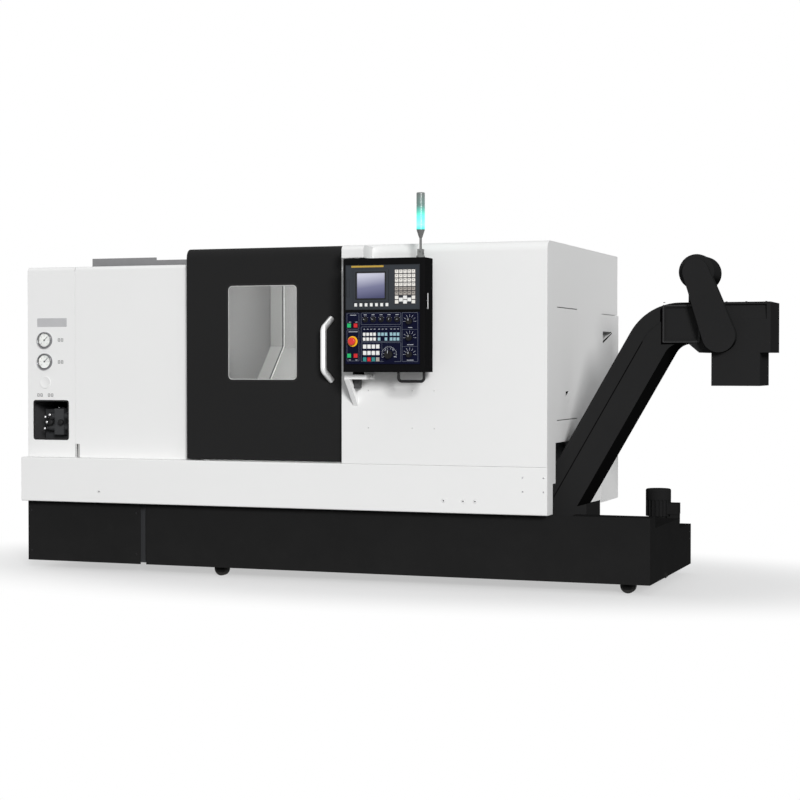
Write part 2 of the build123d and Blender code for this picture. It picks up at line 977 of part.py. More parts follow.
def chamber_right_wall():
    line = beside(guard_line(0), wall_guard_gap + sheet)
    line.reverse()
    outline = chamber_outline(line, line[0][0], top_inside)
    outline[0] = (sheet, wall_foot)
    outline[1] = (sheet, top_inside)
    body = along_x(flat(outline), right_wall_x, right_wall_x + sheet)
    cut = block(right_wall_x - over, right_wall_x + 2 * sheet, 0, ledge_depth, 0, skirt_top)
    body -= cut
    return rounded(body, Axis.X, [(right_wall_x, sheet, top_inside)], door_roll - sheet)


def chip_guides():
    inner = conveyor_front + chute_front_in
    front = [(ledge_depth, skirt_top), (inner, chute_low + chute_drop), (inner, chute_low)]
    inner = conveyor_back - chute_front_in
    front_z = foot_z + (bed_front - foot_y) * math.tan(slant)
    back = [(inner, chute_low), (inner, chute_low + chute_drop), (bed_front, front_z - chute_drop)]
    sheets = []
    for line in (front, back):
        sheets.append(along_x(bent_sheet(line, [skirt_bend], sheet), wall_face, right_wall_x))
    first = sheets[0] - block(0, machine_length, 0, ledge_depth, 0, machine_height)
    second = sheets[1] - block(0, machine_length, bed_front, machine_depth, 0, machine_height)
    return Compound([first, second])


# carriage

def saddle():
    body = slope_bar(saddle_low, saddle_high, saddle_under, saddle_top, saddle_left, saddle_right)
    body += slope_bar(saddle_low, saddle_high, saddle_top, guard_height + guard_nest,
                      saddle_left, saddle_left + saddle_lip)
    body += slope_bar(saddle_low, saddle_high, saddle_top, guard_height,
                      saddle_right - saddle_lip, saddle_right)
    for s in (way_low, way_high):
        for x0 in (saddle_left + way_inset, saddle_right - way_inset - shoe_length):
            shoe = slope_bar(s - shoe_side, s + way_width + shoe_side, shoe_lift, saddle_under,
                             x0, x0 + shoe_length)
            body += shoe - slope_bar(s - slide_gap, s + way_width + slide_gap, 0, way_height + slide_gap,
                                     x0 - over, x0 + shoe_length + over)
    for x0 in cross_ways():
        body += slope_bar(saddle_low + way_inset, saddle_high - way_inset, saddle_top,
                          saddle_top + cross_way_height, x0, x0 + cross_way_width)
    middle = (saddle_left + saddle_right) / 2
    body += slope_bar(saddle_high, saddle_high + servo_length, servo_low, servo_high,
                      middle - servo_width / 2, middle + servo_width / 2)
    return body


def cross_ways():
    return (saddle_left + cross_way_inset, saddle_right - cross_way_inset - cross_way_width)


def cross_slide():
    s0 = turret_rest - cross_length / 2
    low = saddle_top + cross_way_height / 2
    body = slope_bar(s0, s0 + cross_length, low, cross_top, saddle_left + cross_side, saddle_right - cross_side)
    for x0 in cross_ways():
        body -= slope_bar(s0 - over, s0 + cross_length + over, low - over,
                          saddle_top + cross_way_height + slide_gap, x0 - slide_gap,
                          x0 + cross_way_width + slide_gap)
    return body


turret_y, turret_z = slope(turret_rest, axis_height)


def turret_housing():
    x0 = turret_back + contact_gap
    top = axis_height + housing_half
    body = slope_bar(turret_rest - housing_half, turret_rest + housing_half, cross_top, top,
                     x0, x0 + housing_length)
    middle = x0 + housing_length / 2
    tops = []
    for s in (turret_rest - housing_half, turret_rest + housing_half):
        y, z = slope(s, top)
        tops.append((middle, y, z))
    body = rounded(body, Axis.X, tops, housing_round)
    return body - rod_x(x0 - over, turret_back + turret_hub_length + over, turret_y, turret_z,
                        turret_hub + running_gap)


def turret_disc():
    # a many-sided drum with tool blocks on every second flat
    corner = turret_flat / math.cos(math.pi / turret_sides)
    ring = []
    for i in range(turret_sides):
        angle = math.pi * (2 * i + 1) / turret_sides
        ring.append((turret_y + corner * math.sin(angle), turret_z + corner * math.cos(angle)))
    body = along_x(flat(ring), turret_back - turret_length, turret_back)
    body += rod_x(turret_back, turret_back + turret_hub_length, turret_y, turret_z, turret_hub)
    middle = turret_back - turret_length / 2
    tool = block(middle - tool_block_length / 2, middle + tool_block_length / 2,
                 turret_y - tool_block_width / 2, turret_y + tool_block_width / 2,
                 turret_z + turret_flat - over, turret_z + turret_flat + tool_block_height)
    tool += block(middle - tool_shank / 2, middle + tool_shank / 2, turret_y - tool_shank / 2,
                  turret_y + tool_shank / 2, turret_z + turret_flat, turret_z + turret_reach)
    for i in range(tool_count):
        turn = Pos(0, turret_y, turret_z) * Rot(i * quarter_turn * 4 / tool_count, 0, 0)
        body += turn * Pos(0, -turret_y, -turret_z) * tool
    return body


def way_cover_left_moving():
    x1 = saddle_left + saddle_lip
    return guard(guard_nest, x1 - guard_moving_length, x1)


def way_cover_right():
    x0 = saddle_right - saddle_lip
    body = guard(0, x0, guard_right_end)
    line = guard_line(0)
    wall = guard_wall_y - sheet
    return body + block(saddle_left + saddle_lip + shut_gap, x0, wall, guard_wall_y,
                        line[2][1] + guard_bend, guard_top)


# coolant tank unit

def castor_spots():
    return ((castor_left, castor_front), (castor_right, castor_front),
            (castor_left, castor_back_left), (castor_right, castor_back_right))


def coolant_tank():
    t = tank_sheet
    body = block(tank_left, tank_right, base_front, tank_back, base_bottom, base_top)
    # behind the front rim the lid steps down to the deck that the conveyor's foot stands on
    rim_back = base_front + rim_depth
    body -= block(lid_left, tank_right + over, rim_back, tank_back + over, deck_top, base_top + over)
    body += block(wing_left, tank_right, tank_back - t, deck_back, base_bottom, deck_top)
    body += block(wing_left, tank_right, tank_back - t, wing_back, base_bottom, wing_top)
    inside_y = base_front + t
    low = tank_floor + t
    body -= block(tank_left + t, lid_left, inside_y, tank_back - t, low, base_top + over)
    body -= block(lid_left - over, tank_right - t, inside_y, rim_back - t, low, base_top - t)
    body -= block(lid_left - over, tank_right - t, inside_y, tank_back - t, low, deck_top - t)
    body -= block(wing_left + t, tank_right - t, tank_back - 2 * t, deck_back - t, low, deck_top - t)
    body -= block(wing_left + t, tank_right - t, tank_back - 2 * t, wing_back - t, low, wing_top - t)
    body -= block(tank_left + t, tank_right - t, inside_y, tank_back - t, base_bottom - over, tank_floor)
    body -= block(wing_left + t, tank_right - t, tank_back - 2 * t, wing_back - t, base_bottom - over, tank_floor)
    half = wheel_width / 2 + fork_gap
    for x, y in castor_spots():
        for y0 in (y - half - fork_sheet, y + half):
            cheek = block(x - fork_half, x + fork_half, y0, y0 + fork_sheet,
                          wheel_radius - fork_half, tank_floor)
            body += cheek
        body += rod_y(y - half - fork_sheet, y + half + fork_sheet, x, wheel_radius, axle_radius)
    return body


def castor_wheel(index):
    x, y = castor_spots()[index]
    body = rod_y(y - wheel_width / 2, y + wheel_width / 2, x, wheel_radius, wheel_radius)
    body -= rod_y(y - wheel_width, y + wheel_width, x, wheel_radius, axle_radius + running_gap)
    return body


def coolant_pump():
    z = wing_top
    body = rod_z(z, z + pump_flange_thick, pump_x, pump_y, pump_flange)
    z += pump_flange_thick
    body += rod_z(z, z + pump_neck_height, pump_x, pump_y, pump_neck)
    z += pump_neck_height
    body += rod_z(z, z + pump_body_height, pump_x, pump_y, pump_radius)
    fin = block(pump_x, pump_x + pump_radius + pump_fin, pump_y - pump_fin_width / 2,
                pump_y + pump_fin_width / 2, z, z + pump_body_height)
    for i in range(pump_fin_count):
        turn = Pos(pump_x, pump_y, 0) * Rot(0, 0, i * quarter_turn * 4 / pump_fin_count)
        body += turn * Pos(-pump_x, -pump_y, 0) * fin
    body += block(pump_x, pump_x + terminal_reach, pump_y - terminal_half, pump_y + terminal_half,
                  wing_top + terminal_low, wing_top + terminal_low + terminal_height)
    return body + pump_cap()


def pump_cap():
    z = wing_top + pump_flange_thick + pump_neck_height + pump_body_height
    body = rod_z(z, z + pump_cap_height, pump_x, pump_y, pump_radius + pump_fin)
    return fillet(body.edges().sort_by(Axis.Z)[-1], pump_cap_round)


# chip conveyor

def conveyor_point(bend_x, bend_z, offset):
    return (bend_x - offset * half_tan, bend_z + offset)


def conveyor_outline(inset):
    # side outline of the casing, moved inwards by the inset
    low = conveyor_point(conveyor_foot_x, conveyor_floor, inset)
    high = conveyor_point(elbow_x, upper_floor, inset)
    back = conveyor_deep - inset
    over_high = conveyor_point(elbow_x, upper_floor, back)
    over_low = conveyor_point(conveyor_foot_x, conveyor_floor, back)
    points = [(conveyor_tail + inset, low[1]), low, high, (head_slope_left, high[1]),
              (head_left, head_bottom + inset), (conveyor_end - inset, head_bottom + inset),
              (conveyor_end - inset, over_high[1]), over_high, over_low, (conveyor_tail + inset, over_low[1])]
    return points


def conveyor_solid(inset, y0, y1):
    points = conveyor_outline(inset)
    body = along_y(flat(points), y0, y1)
    middle = (y0 + y1) / 2
    spots = [(points[i][0], middle, points[i][1]) for i in (1, 2, 7, 8)]
    body = rounded(body, Axis.Y, spots[1:2], elbow_inner + inset)
    body = rounded(body, Axis.Y, spots[2:3], elbow_outer - inset)
    return body


def top_strip(depth, y0, y1):
    # what lies within a depth of the upper edge, from the incline's foot to the end of the head
    low = conveyor_point(conveyor_foot_x, conveyor_floor, conveyor_deep - depth)
    high = conveyor_point(elbow_x, upper_floor, conveyor_deep - depth)
    rise = conveyor_point(conveyor_foot_x, conveyor_floor, conveyor_deep + over)
    start = conveyor_tail - over
    end = conveyor_end + over
    bottom = conveyor_floor - over
    points = [low, high, (end, high[1]), (end, bottom), (start, bottom), (start, rise[1]), rise]
    under = along_y(flat(points), y0 - over, y1 + over)
    under = rounded(under, Axis.Y, [(high[0], (y0 + y1) / 2, high[1])], elbow_outer - depth)
    return conveyor_solid(0, y0, y1) - under


def conveyor_cover():
    # the bolted sheet over the incline, the bend and the head
    return top_strip(conveyor_sheet, conveyor_front, conveyor_back)


def conveyor_casing():
    # the trough under the cover, with the chute
    t = conveyor_sheet
    body = conveyor_solid(0, conveyor_front, conveyor_back)
    body -= conveyor_solid(t, conveyor_front + t, conveyor_back - t)
    bend = conveyor_point(conveyor_foot_x, conveyor_floor, conveyor_deep)
    body -= block(conveyor_tail + inlet_inset, bend[0] - inlet_inset, conveyor_front + t, conveyor_back - t,
                  conveyor_floor + conveyor_deep - 2 * t, conveyor_floor + conveyor_deep + over)
    body -= block(chute_left + t, chute_right - t, conveyor_front + t, conveyor_back - t,
                  head_bottom - over, head_bottom + 2 * t)
    body -= block(head_cut_left, head_cut_right, conveyor_front - over, conveyor_front + 2 * t,
                  head_cut_low, head_cut_high)
    chute = block(chute_left, chute_right, conveyor_front, conveyor_back, chute_bottom, head_bottom)
    chute -= block(chute_left + t, chute_right - t, conveyor_front + t, conveyor_back - t,
                   chute_bottom - over, head_bottom + over)
    body += chute
    for x0 in (conveyor_front, conveyor_back - skid_width):
        body += block(conveyor_tail, conveyor_foot_x - skid_width, x0, x0 + skid_width,
                      conveyor_floor - skid_height, conveyor_floor)
    body -= conveyor_cover()
    body += conveyor_band()
    body += inspection_frame()
    body += conveyor_gusset()
    body -= rod_y(conveyor_front - over, conveyor_back + over, drive_x, drive_z, drive_radius + running_gap)
    return body


def conveyor_band():
    # raised strip along the upper edge of the front plate, from the deck up to the inspection frame
    strip = top_strip(band_depth, conveyor_front - band_proud, conveyor_front)
    end = frame_left - band_gap
    return strip & block(0, end, -machine_depth, machine_depth, deck_top, conveyor_top + over)


def inspection_frame():
    y0 = conveyor_front - frame_proud
    frame = block(frame_left, frame_right, y0, conveyor_front, frame_low, frame_high)
    frame -= block(frame_left + frame_bar, frame_right - frame_bar, y0 - over, conveyor_front,
                   frame_low + frame_bar, frame_high - frame_bar)
    return frame - along_y(chain_shape(-contact_gap), y0 - over, conveyor_front)


def conveyor_gusset():
    # the foot that stands on the tank's deck under the incline
    z = deck_top
    x = conveyor_foot_x + (z - conveyor_floor) / math.tan(incline)
    top = z + gusset_height - gusset_fall
    top_x = conveyor_foot_x + (top - conveyor_floor) / math.tan(incline)
    outline = [(x, z), (x + gusset_length, z), (x + gusset_length, z + gusset_height), (top_x, top)]
    return along_y(flat(outline), conveyor_front, conveyor_back)


def belt_face(low, high, radius):
    first = conveyor_point(conveyor_foot_x, conveyor_floor, low)
    second = conveyor_point(elbow_x, upper_floor, low)
    third = conveyor_point(elbow_x, upper_floor, high)
    fourth = conveyor_point(conveyor_foot_x, conveyor_floor, high)
    tail_z = conveyor_floor + belt_low + belt_radius
    outline = [(belt_tail, first[1]), first, second, (drive_x, second[1]), (drive_x, third[1]), third, fourth,
               (belt_tail, fourth[1])]
    face = flat(outline)
    for x, z in ((belt_tail, tail_z), (drive_x, drive_z)):
        face += Pos(x, z) * Circle(radius)
    return face


def conveyor_belt():
    half = belt_thick / 2
    middle = belt_low + belt_radius
    y0 = conveyor_front + belt_inset
    y1 = conveyor_back - belt_inset
    face = belt_face(belt_low - half, middle + belt_radius + half, belt_radius + half)
    face -= belt_face(belt_low + half, middle + belt_radius - half, belt_radius - half)
    body = along_y(face, y0, y1)
    top = middle + belt_radius
    start = conveyor_point(conveyor_foot_x, conveyor_floor, top)
    run = int((start[0] - belt_tail) / cleat_pitch)
    for i in range(1, run):
        x = start[0] - i * cleat_pitch
        body += block(x, x + cleat_width, y0, y1, start[1], start[1] + cleat_height)
    end = conveyor_point(elbow_x, upper_floor, top)
    climb = math.hypot(end[0] - start[0], end[1] - start[1])
    cleat = block(0, cleat_width, y0, y1, 0, cleat_height)
    for i in range(1, int(climb / cleat_pitch)):
        x = start[0] + i * cleat_pitch * math.cos(incline)
        z = start[1] + i * cleat_pitch * math.sin(incline)
        body += Pos(x, 0, z) * Rot(0, -incline_angle, 0) * cleat
    return body


def toothed(radius, teeth):
    points = []
    radii = (radius, radius, radius - tooth_depth, radius - tooth_depth)
    for i in range(teeth):
        for share, r in zip(tooth_shares, radii):
            angle = 2 * math.pi * (i + share) / teeth
            points.append((drive_x + r * math.cos(angle), drive_z + r * math.sin(angle)))
    return flat(points)


def conveyor_shaft():
    y0 = conveyor_front - case_depth + case_wall + sprocket_thick
    body = rod_y(y0, conveyor_back + drive_out, drive_x, drive_z, drive_radius)
    for y in (conveyor_front + sprocket_inset, conveyor_back - sprocket_inset - sprocket_thick):
        body += along_y(toothed(sprocket_radius, sprocket_teeth), y, y + sprocket_thick)
    body += along_y(toothed(chain_sprocket, 2 * sprocket_teeth), y0, y0 + sprocket_thick)
    return body


def chain_shape(shrink):
    # the outline round two circles of different size
    r1 = case_low_radius - shrink
    r2 = case_high_radius - shrink
    dx = case_high_x - case_low_x
    dz = case_high_z - case_low_z
    apart = math.hypot(dx, dz)
    tilt = math.atan2(dz, dx)
    open_angle = math.acos((r1 - r2) / apart)
    corners = []
    for side in (1, -1):
        angle = tilt + side * open_angle
        pair = []
        for x, z, r in ((case_low_x, case_low_z, r1), (case_high_x, case_high_z, r2)):
            pair.append((x + r * math.cos(angle), z + r * math.sin(angle)))
        corners += pair if side > 0 else pair[::-1]
    face = flat(corners)
    return face + Pos(case_low_x, case_low_z) * Circle(r1) + Pos(case_high_x, case_high_z) * Circle(r2)


def chain_case():
    y0 = conveyor_front - case_depth
    body = along_y(chain_shape(0), y0, conveyor_front)
    body += rod_y(conveyor_front - drum_depth, conveyor_front, case_high_x, case_high_z, drum_radius)
    return body - along_y(chain_shape(case_wall), y0 + case_wall, conveyor_front + over) + chain_case_back()


def chain_case_back():
    # back plate over the part of the case that stands above the conveyor
    plate = along_y(chain_shape(case_wall), conveyor_front - case_wall, conveyor_front)
    return plate & block(0, conveyor_end, 0, machine_depth, conveyor_top, machine_height)


def conveyor_motor():
    y0 = conveyor_front
    body = rod_y(y0, y0 + gear_length, case_high_x, case_high_z, gear_radius)
    return body + block(case_high_x - gear_foot_half, case_high_x + gear_foot_half, y0 + gear_foot_front,
                        y0 + gear_foot_front + gear_foot_length, conveyor_top, conveyor_top + gear_foot_height)


# services at the left end and at the back

def pressure_gauges():
    gauges = []
    for z in (gauge_high, gauge_low):
        front = left_front - gauge_proud
        case = rod_y(front, left_front, gauge_x, z, gauge_rim)
        case -= rod_y(front - over, front + gauge_recess, gauge_x, z, gauge_face)
        face = front + gauge_recess
        case += rod_y(left_front, left_front + gauge_body, gauge_x, z, gauge_face - contact_gap)
        case += rod_y(face - 2 * needle_thick, face, gauge_x, z, hub_radius)
        needle = block(-needle_width / 2, needle_width / 2, face - needle_thick, face, 0, needle_length)
        case += Pos(gauge_x, 0, z) * Rot(0, needle_turn, 0) * needle
        gauges.append(case)
    return Compound(gauges)


def hydraulic_unit():
    body = block(unit_left, unit_left + unit_width, unit_front, unit_front + unit_depth,
                 platform_top, platform_top + unit_height)
    x0 = unit_left + (unit_width - valve_block) / 2
    foot = platform_top + valve_foot
    body += block(x0, x0 + valve_block, unit_front - valve_reach, unit_front, foot, foot + valve_tall)
    for i in range(2):
        z = foot + valve_tall / 2 + (2 * i - 1) * solenoid_pitch / 2
        y = unit_front - valve_reach / 2
        middle = x0 + valve_block / 2
        body += rod_x(middle - solenoid_length / 2, middle + solenoid_length / 2, y, z, solenoid_radius)
    return body


def cabinet_door_left():
    return machine_length - cabinet_rim / 2 - cabinet_door_width


def electrical_cabinet():
    front = bed_back + contact_gap
    body = block(cabinet_left, machine_length, front, cabinet_back, cabinet_bottom, cabinet_top)
    body -= block(cabinet_left + sheet, side_inside, front + sheet, cabinet_back - sheet,
                  cabinet_bottom + sheet, cabinet_top - sheet)
    x0 = cabinet_door_left() + cabinet_rim
    body -= block(x0, x0 + cabinet_door_width - 2 * cabinet_rim, cabinet_back - 2 * sheet, cabinet_back + over,
                  cabinet_bottom + cabinet_rim, cabinet_top - cabinet_rim)
    y0 = front + pocket_front
    body += block(machine_length - pocket_in, machine_length, y0 - sheet, y0 + pocket_width + sheet,
                  pocket_bottom - sheet, pocket_bottom + pocket_tall + sheet)
    return body - block(machine_length - pocket_in + sheet, machine_length + over, y0, y0 + pocket_width,
                        pocket_bottom, pocket_bottom + pocket_tall)


def cabinet_door():
    # a folded pan on two hinge barrels, with a lever handle
    x0 = cabinet_door_left()
    x1 = x0 + cabinet_door_width
    y0 = cabinet_back + cabinet_gap
    y1 = y0 + cabinet_door_pan
    z0 = cabinet_bottom + cabinet_rim / 2
    z1 = cabinet_top - cabinet_rim / 2
    body = block(x0, x1, y0, y1, z0, z1)
    body -= block(x0 + sheet, x1 - sheet, y0 - over, y1 - sheet, z0 + sheet, z1 - sheet)
    for z in (z0 + hinge_length, z1 - 2 * hinge_length):
        body += rod_z(z, z + hinge_length, x0 - hinge_radius + sheet / 2, y0 + cabinet_door_pan / 2, hinge_radius)
    x = x1 - 2 * handle_width
    return body + block(x, x + handle_width, y1, y1 + handle_proud, handle_low, handle_low + handle_height)


def drive_rack():
    # mounting plate with rows of drive modules
    x0 = cabinet_door_left() + rack_inset
    wide = cabinet_door_width - 2 * rack_inset - pocket_in
    y0 = bed_back + contact_gap + sheet
    z0 = cabinet_bottom + rack_inset
    tall = cabinet_top - cabinet_bottom - 2 * rack_inset
    body = block(x0, x0 + wide, y0, y0 + rack_thick, z0, z0 + tall)
    row = tall / rack_rows
    column = wide / rack_columns
    for i in range(rack_rows):
        for j in range(rack_columns):
            x = x0 + j * column + module_gap / 2
            z = z0 + i * row + 2 * module_gap
            body += block(x, x + column - module_gap, y0 + rack_thick, y0 + module_depth,
                          z, z + row - 4 * module_gap)
    return body


# control pendant and its arms

def pendant_upper_arm():
    low = pendant_high + pivot_cap_height + arm_gap
    body = block(arm_left, arm_right, arm_front, arm_back, low, arm_top)
    middle = (arm_left + arm_right) / 2
    body = rounded(body, Axis.X, [(middle, arm_front, arm_top)], arm_round)
    shell = block(post_x, machine_length, 0, machine_depth, skirt_top, machine_height)
    shell = rounded(shell, Axis.X, [((post_x + machine_length) / 2, 0, machine_height)], door_roll)
    body -= shell
    return body - rod_z(low - over, low + arm_front * -1 / 2, pivot_x, pivot_y, pivot_radius + running_gap)


def pendant_lower_arm():
    top = pendant_low - lower_arm_gap
    low = top - lower_arm_thick
    body = block(lower_arm_left, lower_arm_right, arm_front, 0, low, top)
    brace = [(arm_front, low), (0, low - lower_arm_sink), (0, low - lower_arm_sink + strut_foot),
             (arm_front + strut_foot, low)]
    body += along_x(flat(brace), lower_arm_left, lower_arm_left + strut_width)
    clamp_y = arm_front / 2
    body += rod_x(lower_arm_right, lower_arm_right + clamp_length, clamp_y, (low + top) / 2, clamp_radius)
    return body - rod_z(low - over, top + over, pivot_x, pivot_y, pivot_radius + running_gap)


def pendant_box():
    body = block(pendant_left, pendant_right, pendant_front, pendant_back, pendant_low, pendant_high)
    body = fillet(body.edges().filter_by(Axis.Z), pendant_round)
    t = pendant_sheet
    body -= block(pendant_left + t, pendant_right - t, pendant_front + t, pendant_back - t,
                  pendant_low + t, pendant_high - t)
    for z, tall in ((display_low, display_tall), (panel_low, panel_tall)):
        body -= block(unit_left_x + panel_cut, unit_left_x + unit_long - panel_cut, pendant_front - over,
                      pendant_front + 2 * t, z + panel_cut, z + tall - panel_cut)
    body += rod_z(pendant_high - t, pendant_high + pivot_cap_height, pivot_x, pivot_y, pivot_cap)
    body += rod_z(pendant_high, pendant_high + fold_height, pivot_x, pivot_y, pivot_radius)
    seat = pendant_low - lower_arm_gap
    body += rod_z(seat - lower_arm_thick, pendant_low + t, pivot_x, pivot_y, pivot_radius)
    body += rod_z(seat + contact_gap, pendant_low + t, pivot_x, pivot_y, pivot_cap)
    return body + lamp_base()


def lamp_base():
    body = rod_z(pendant_high, pendant_high + lamp_base_height, lamp_x, lamp_y, lamp_base_radius)
    top = fold_z + lug_half
    for side in (-1, 1):
        y = lamp_y + side * (tongue_half + contact_gap + lug_thick / 2)
        body += block(lamp_x - lug_half, lamp_x + lug_half, y - lug_thick / 2, y + lug_thick / 2,
                      pendant_high + lamp_base_height, top)
    reach = tongue_half + contact_gap + lug_thick + over
    return body - rod_y(lamp_y - reach, lamp_y + reach, lamp_x, fold_z, fold_pin + running_gap)


def lamp_pole():
    reach = tongue_half + contact_gap + lug_thick
    body = rod_y(lamp_y - tongue_half, lamp_y + tongue_half, lamp_x, fold_z, knuckle_radius)
    body += rod_y(lamp_y - reach, lamp_y + reach, lamp_x, fold_z, fold_pin)
    body += rod_z(fold_z, pendant_high + lamp_pole_top, lamp_x, lamp_y, lamp_stem_radius)
    low = pendant_high + lamp_pole_top
    body += Pos(lamp_x, lamp_y, low + lamp_cone_height / 2) * Cone(
        lamp_pole_radius, lamp_lens_radius, lamp_cone_height)
    return body


def lamp_lens():
    low = pendant_high + lamp_lens_low
    high = pendant_high + lamp_lens_high
    body = rod_z(low, high, lamp_x, lamp_y, lamp_lens_radius)
    body = fillet(body.edges().sort_by(Axis.Z)[-1], lamp_crown)
    split = low + (high - low) * lamp_split_share
    ring = rod_z(split, split + lamp_ring_height, lamp_x, lamp_y, lamp_lens_radius + over)
    ring -= rod_z(split, split + lamp_ring_height, lamp_x, lamp_y, lamp_lens_radius - lamp_ring)
    return body - ring


def key_grid(x0, z0, columns, rows, pitch_x, pitch_z, wide, tall):
    keys = []
    for i in range(columns):
        for j in range(rows):
            x = unit_left_x + x0 + i * pitch_x
            z = z0 + j * pitch_z
            keys.append(block(x, x + wide, panel_face - key_proud, panel_face, z, z + tall))
    return keys


def display_unit():
    x0 = unit_left_x
    body = block(x0, x0 + unit_long, panel_face, pendant_front, display_low, display_low + display_tall)
    sx = x0 + screen_x
    sz = display_low + screen_low
    body += block(sx - bezel, sx + screen_wide + bezel, panel_face - bezel_proud, panel_face,
                  sz - bezel, sz + screen_tall + bezel)
    body -= block(sx, sx + screen_wide, panel_face - bezel_proud - over, panel_face + screen_depth,
                  sz, sz + screen_tall)
    step_x = pad_wide / pad_columns
    step_z = pad_tall / pad_rows
    for key in key_grid(pad_x + key_gap / 2, display_low + pad_low + key_gap / 2, pad_columns, pad_rows,
                        step_x, step_z, step_x - key_gap, step_z - key_gap):
        body += key
    for key in key_grid(soft_x, display_low + soft_low - soft_tall / 2, soft_count, 1, soft_pitch, 0,
                        soft_width, soft_tall):
        body += key
    return body


def operator_panel():
    x0 = unit_left_x
    body = block(x0, x0 + unit_long, panel_face, pendant_front, panel_low, panel_low + panel_tall)
    keys = key_grid(white_x, panel_low + white_z, white_columns, white_rows, key_pitch_x, key_pitch_z,
                    key_wide, key_tall)
    keys += key_grid(blue_x, panel_low + white_z, blue_columns, white_rows, key_pitch_x, key_pitch_z,
                     key_wide, key_tall)
    # the jog keys: three above, two below with a space between them
    keys += key_grid(arrow_x, panel_low + white_z + key_pitch_z, blue_columns, 1, key_pitch_x, 0,
                     key_wide, key_tall)
    keys += key_grid(arrow_x, panel_low + white_z, 2, 1, 2 * key_pitch_x, 0, key_wide, key_tall)
    keys += key_grid(row_x, panel_low + row_z, row_columns, row_rows, key_pitch_x + key_gap, row_pitch_z,
                     key_wide + key_gap, row_tall)
    for key in keys:
        body += key
    for x in (button_x, button_x + button_pitch):
        for z in (button_low, button_high):
            body += block(x0 + x - button_size / 2, x0 + x + button_size / 2, panel_face - button_proud,
                          panel_face, panel_low + z - button_size / 2, panel_low + z + button_size / 2)
    for i in range(selector_count):
        x = x0 + selector_x + i * selector_pitch
        body += rod_y(panel_face - selector_proud, panel_face, x, panel_low + selector_z, selector_radius)
    body += rod_y(panel_face - stop_ring_thick, panel_face, x0 + stop_x, panel_low + stop_z, stop_ring)
    body += rod_y(panel_face - dial_plate_proud, panel_face, x0 + dial_x, panel_low + dial_z, dial_plate)
    body -= rod_y(panel_face - stop_ring_thick - over, pendant_front + over, x0 + stop_x, panel_low + stop_z,
                  stop_stem + running_gap)
    for x, z in [(dial_x, dial_z)] + [(knob_x, z) for z in knob_zs]:
        body -= rod_y(panel_face - over, pendant_front + over, x0 + x, panel_low + z,
                      shaft_radius + running_gap)
    return body


def estop_button():
    x = unit_left_x + stop_x
    z = panel_low + stop_z
    front = panel_face - stop_stem_length
    body = rod_y(front - stop_cap, front, x, z, stop_radius)
    body = fillet(body.edges().sort_by(Axis.Y)[0], stop_round)
    return body + rod_y(front, pendant_front + stop_hole_depth, x, z, stop_stem)


def turning_knob(x, z, radius, seat):
    # a round knob with a raised grip bar, on a shaft through the panel
    x += unit_left_x
    z += panel_low
    back = panel_face - seat - contact_gap
    front = back - knob_proud
    body = rod_y(front, back, x, z, radius)
    body += block(x - knob_bar / 2, x + knob_bar / 2, front - knob_bar_proud, front, z - radius, z + radius)
    return body + rod_y(back, pendant_front + shaft_hole_depth, x, z, shaft_radius)


def pendant_handle():
    x0 = pendant_left + loop_left
    x1 = x0 + loop_width
    low = pendant_low - loop_drop
    return tube([(x0, loop_y, pendant_low), (x0, loop_y, low), (x1, loop_y, low), (x1, loop_y, pendant_low)],
                loop_radius, loop_bend)


def main():
    os.makedirs("parts", exist_ok=True)
    pieces = [skirt, base_cover, left_end_cover, headstock_cover, right_cover, roof_cover, rear_cover,
              right_side_panel, side_access_panel, door_panel, door_window, door_handle, door_rail, bed,
              bed_feet, headstock, spindle, chuck, chamber_left_wall, chamber_right_wall, chip_guides, saddle,
              cross_slide, turret_housing, turret_disc, way_cover_left_moving, way_cover_right,
              coolant_tank, coolant_pump, conveyor_casing, conveyor_cover, conveyor_belt,
              conveyor_shaft, chain_case, conveyor_motor, pressure_gauges, hydraulic_unit,
              electrical_cabinet, cabinet_door, drive_rack, pendant_upper_arm, pendant_lower_arm, pendant_box,
              display_unit, operator_panel, estop_button, pendant_handle, lamp_pole, lamp_lens]
    for piece in pieces:
        save(piece.__name__, piece())
    for i in range(jaw_count):
        save("chuck_jaw_" + str(i + 1), jaw(i))
    for i in range(len(castor_spots())):
        save("castor_wheel_" + str(i + 1), castor_wheel(i))
    for i, z in enumerate(knob_zs):
        save("rotary_knob_" + str(i + 1), turning_knob(knob_x, z, knob_radius, 0))
    save("override_dial", turning_knob(dial_x, dial_z, dial_radius, dial_plate_proud))


if __name__ == "__main__":
    main()
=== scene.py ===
"""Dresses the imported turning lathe: finishes for every CAD node, the keys and marks of the control
pendant, gauge faces, screws, seals and plates, and a plain studio stage with the camera."""

import math

import bmesh
import bpy
from bpy.props import FloatProperty, FloatVectorProperty, IntProperty, PointerProperty
from mathutils import Matrix, Vector


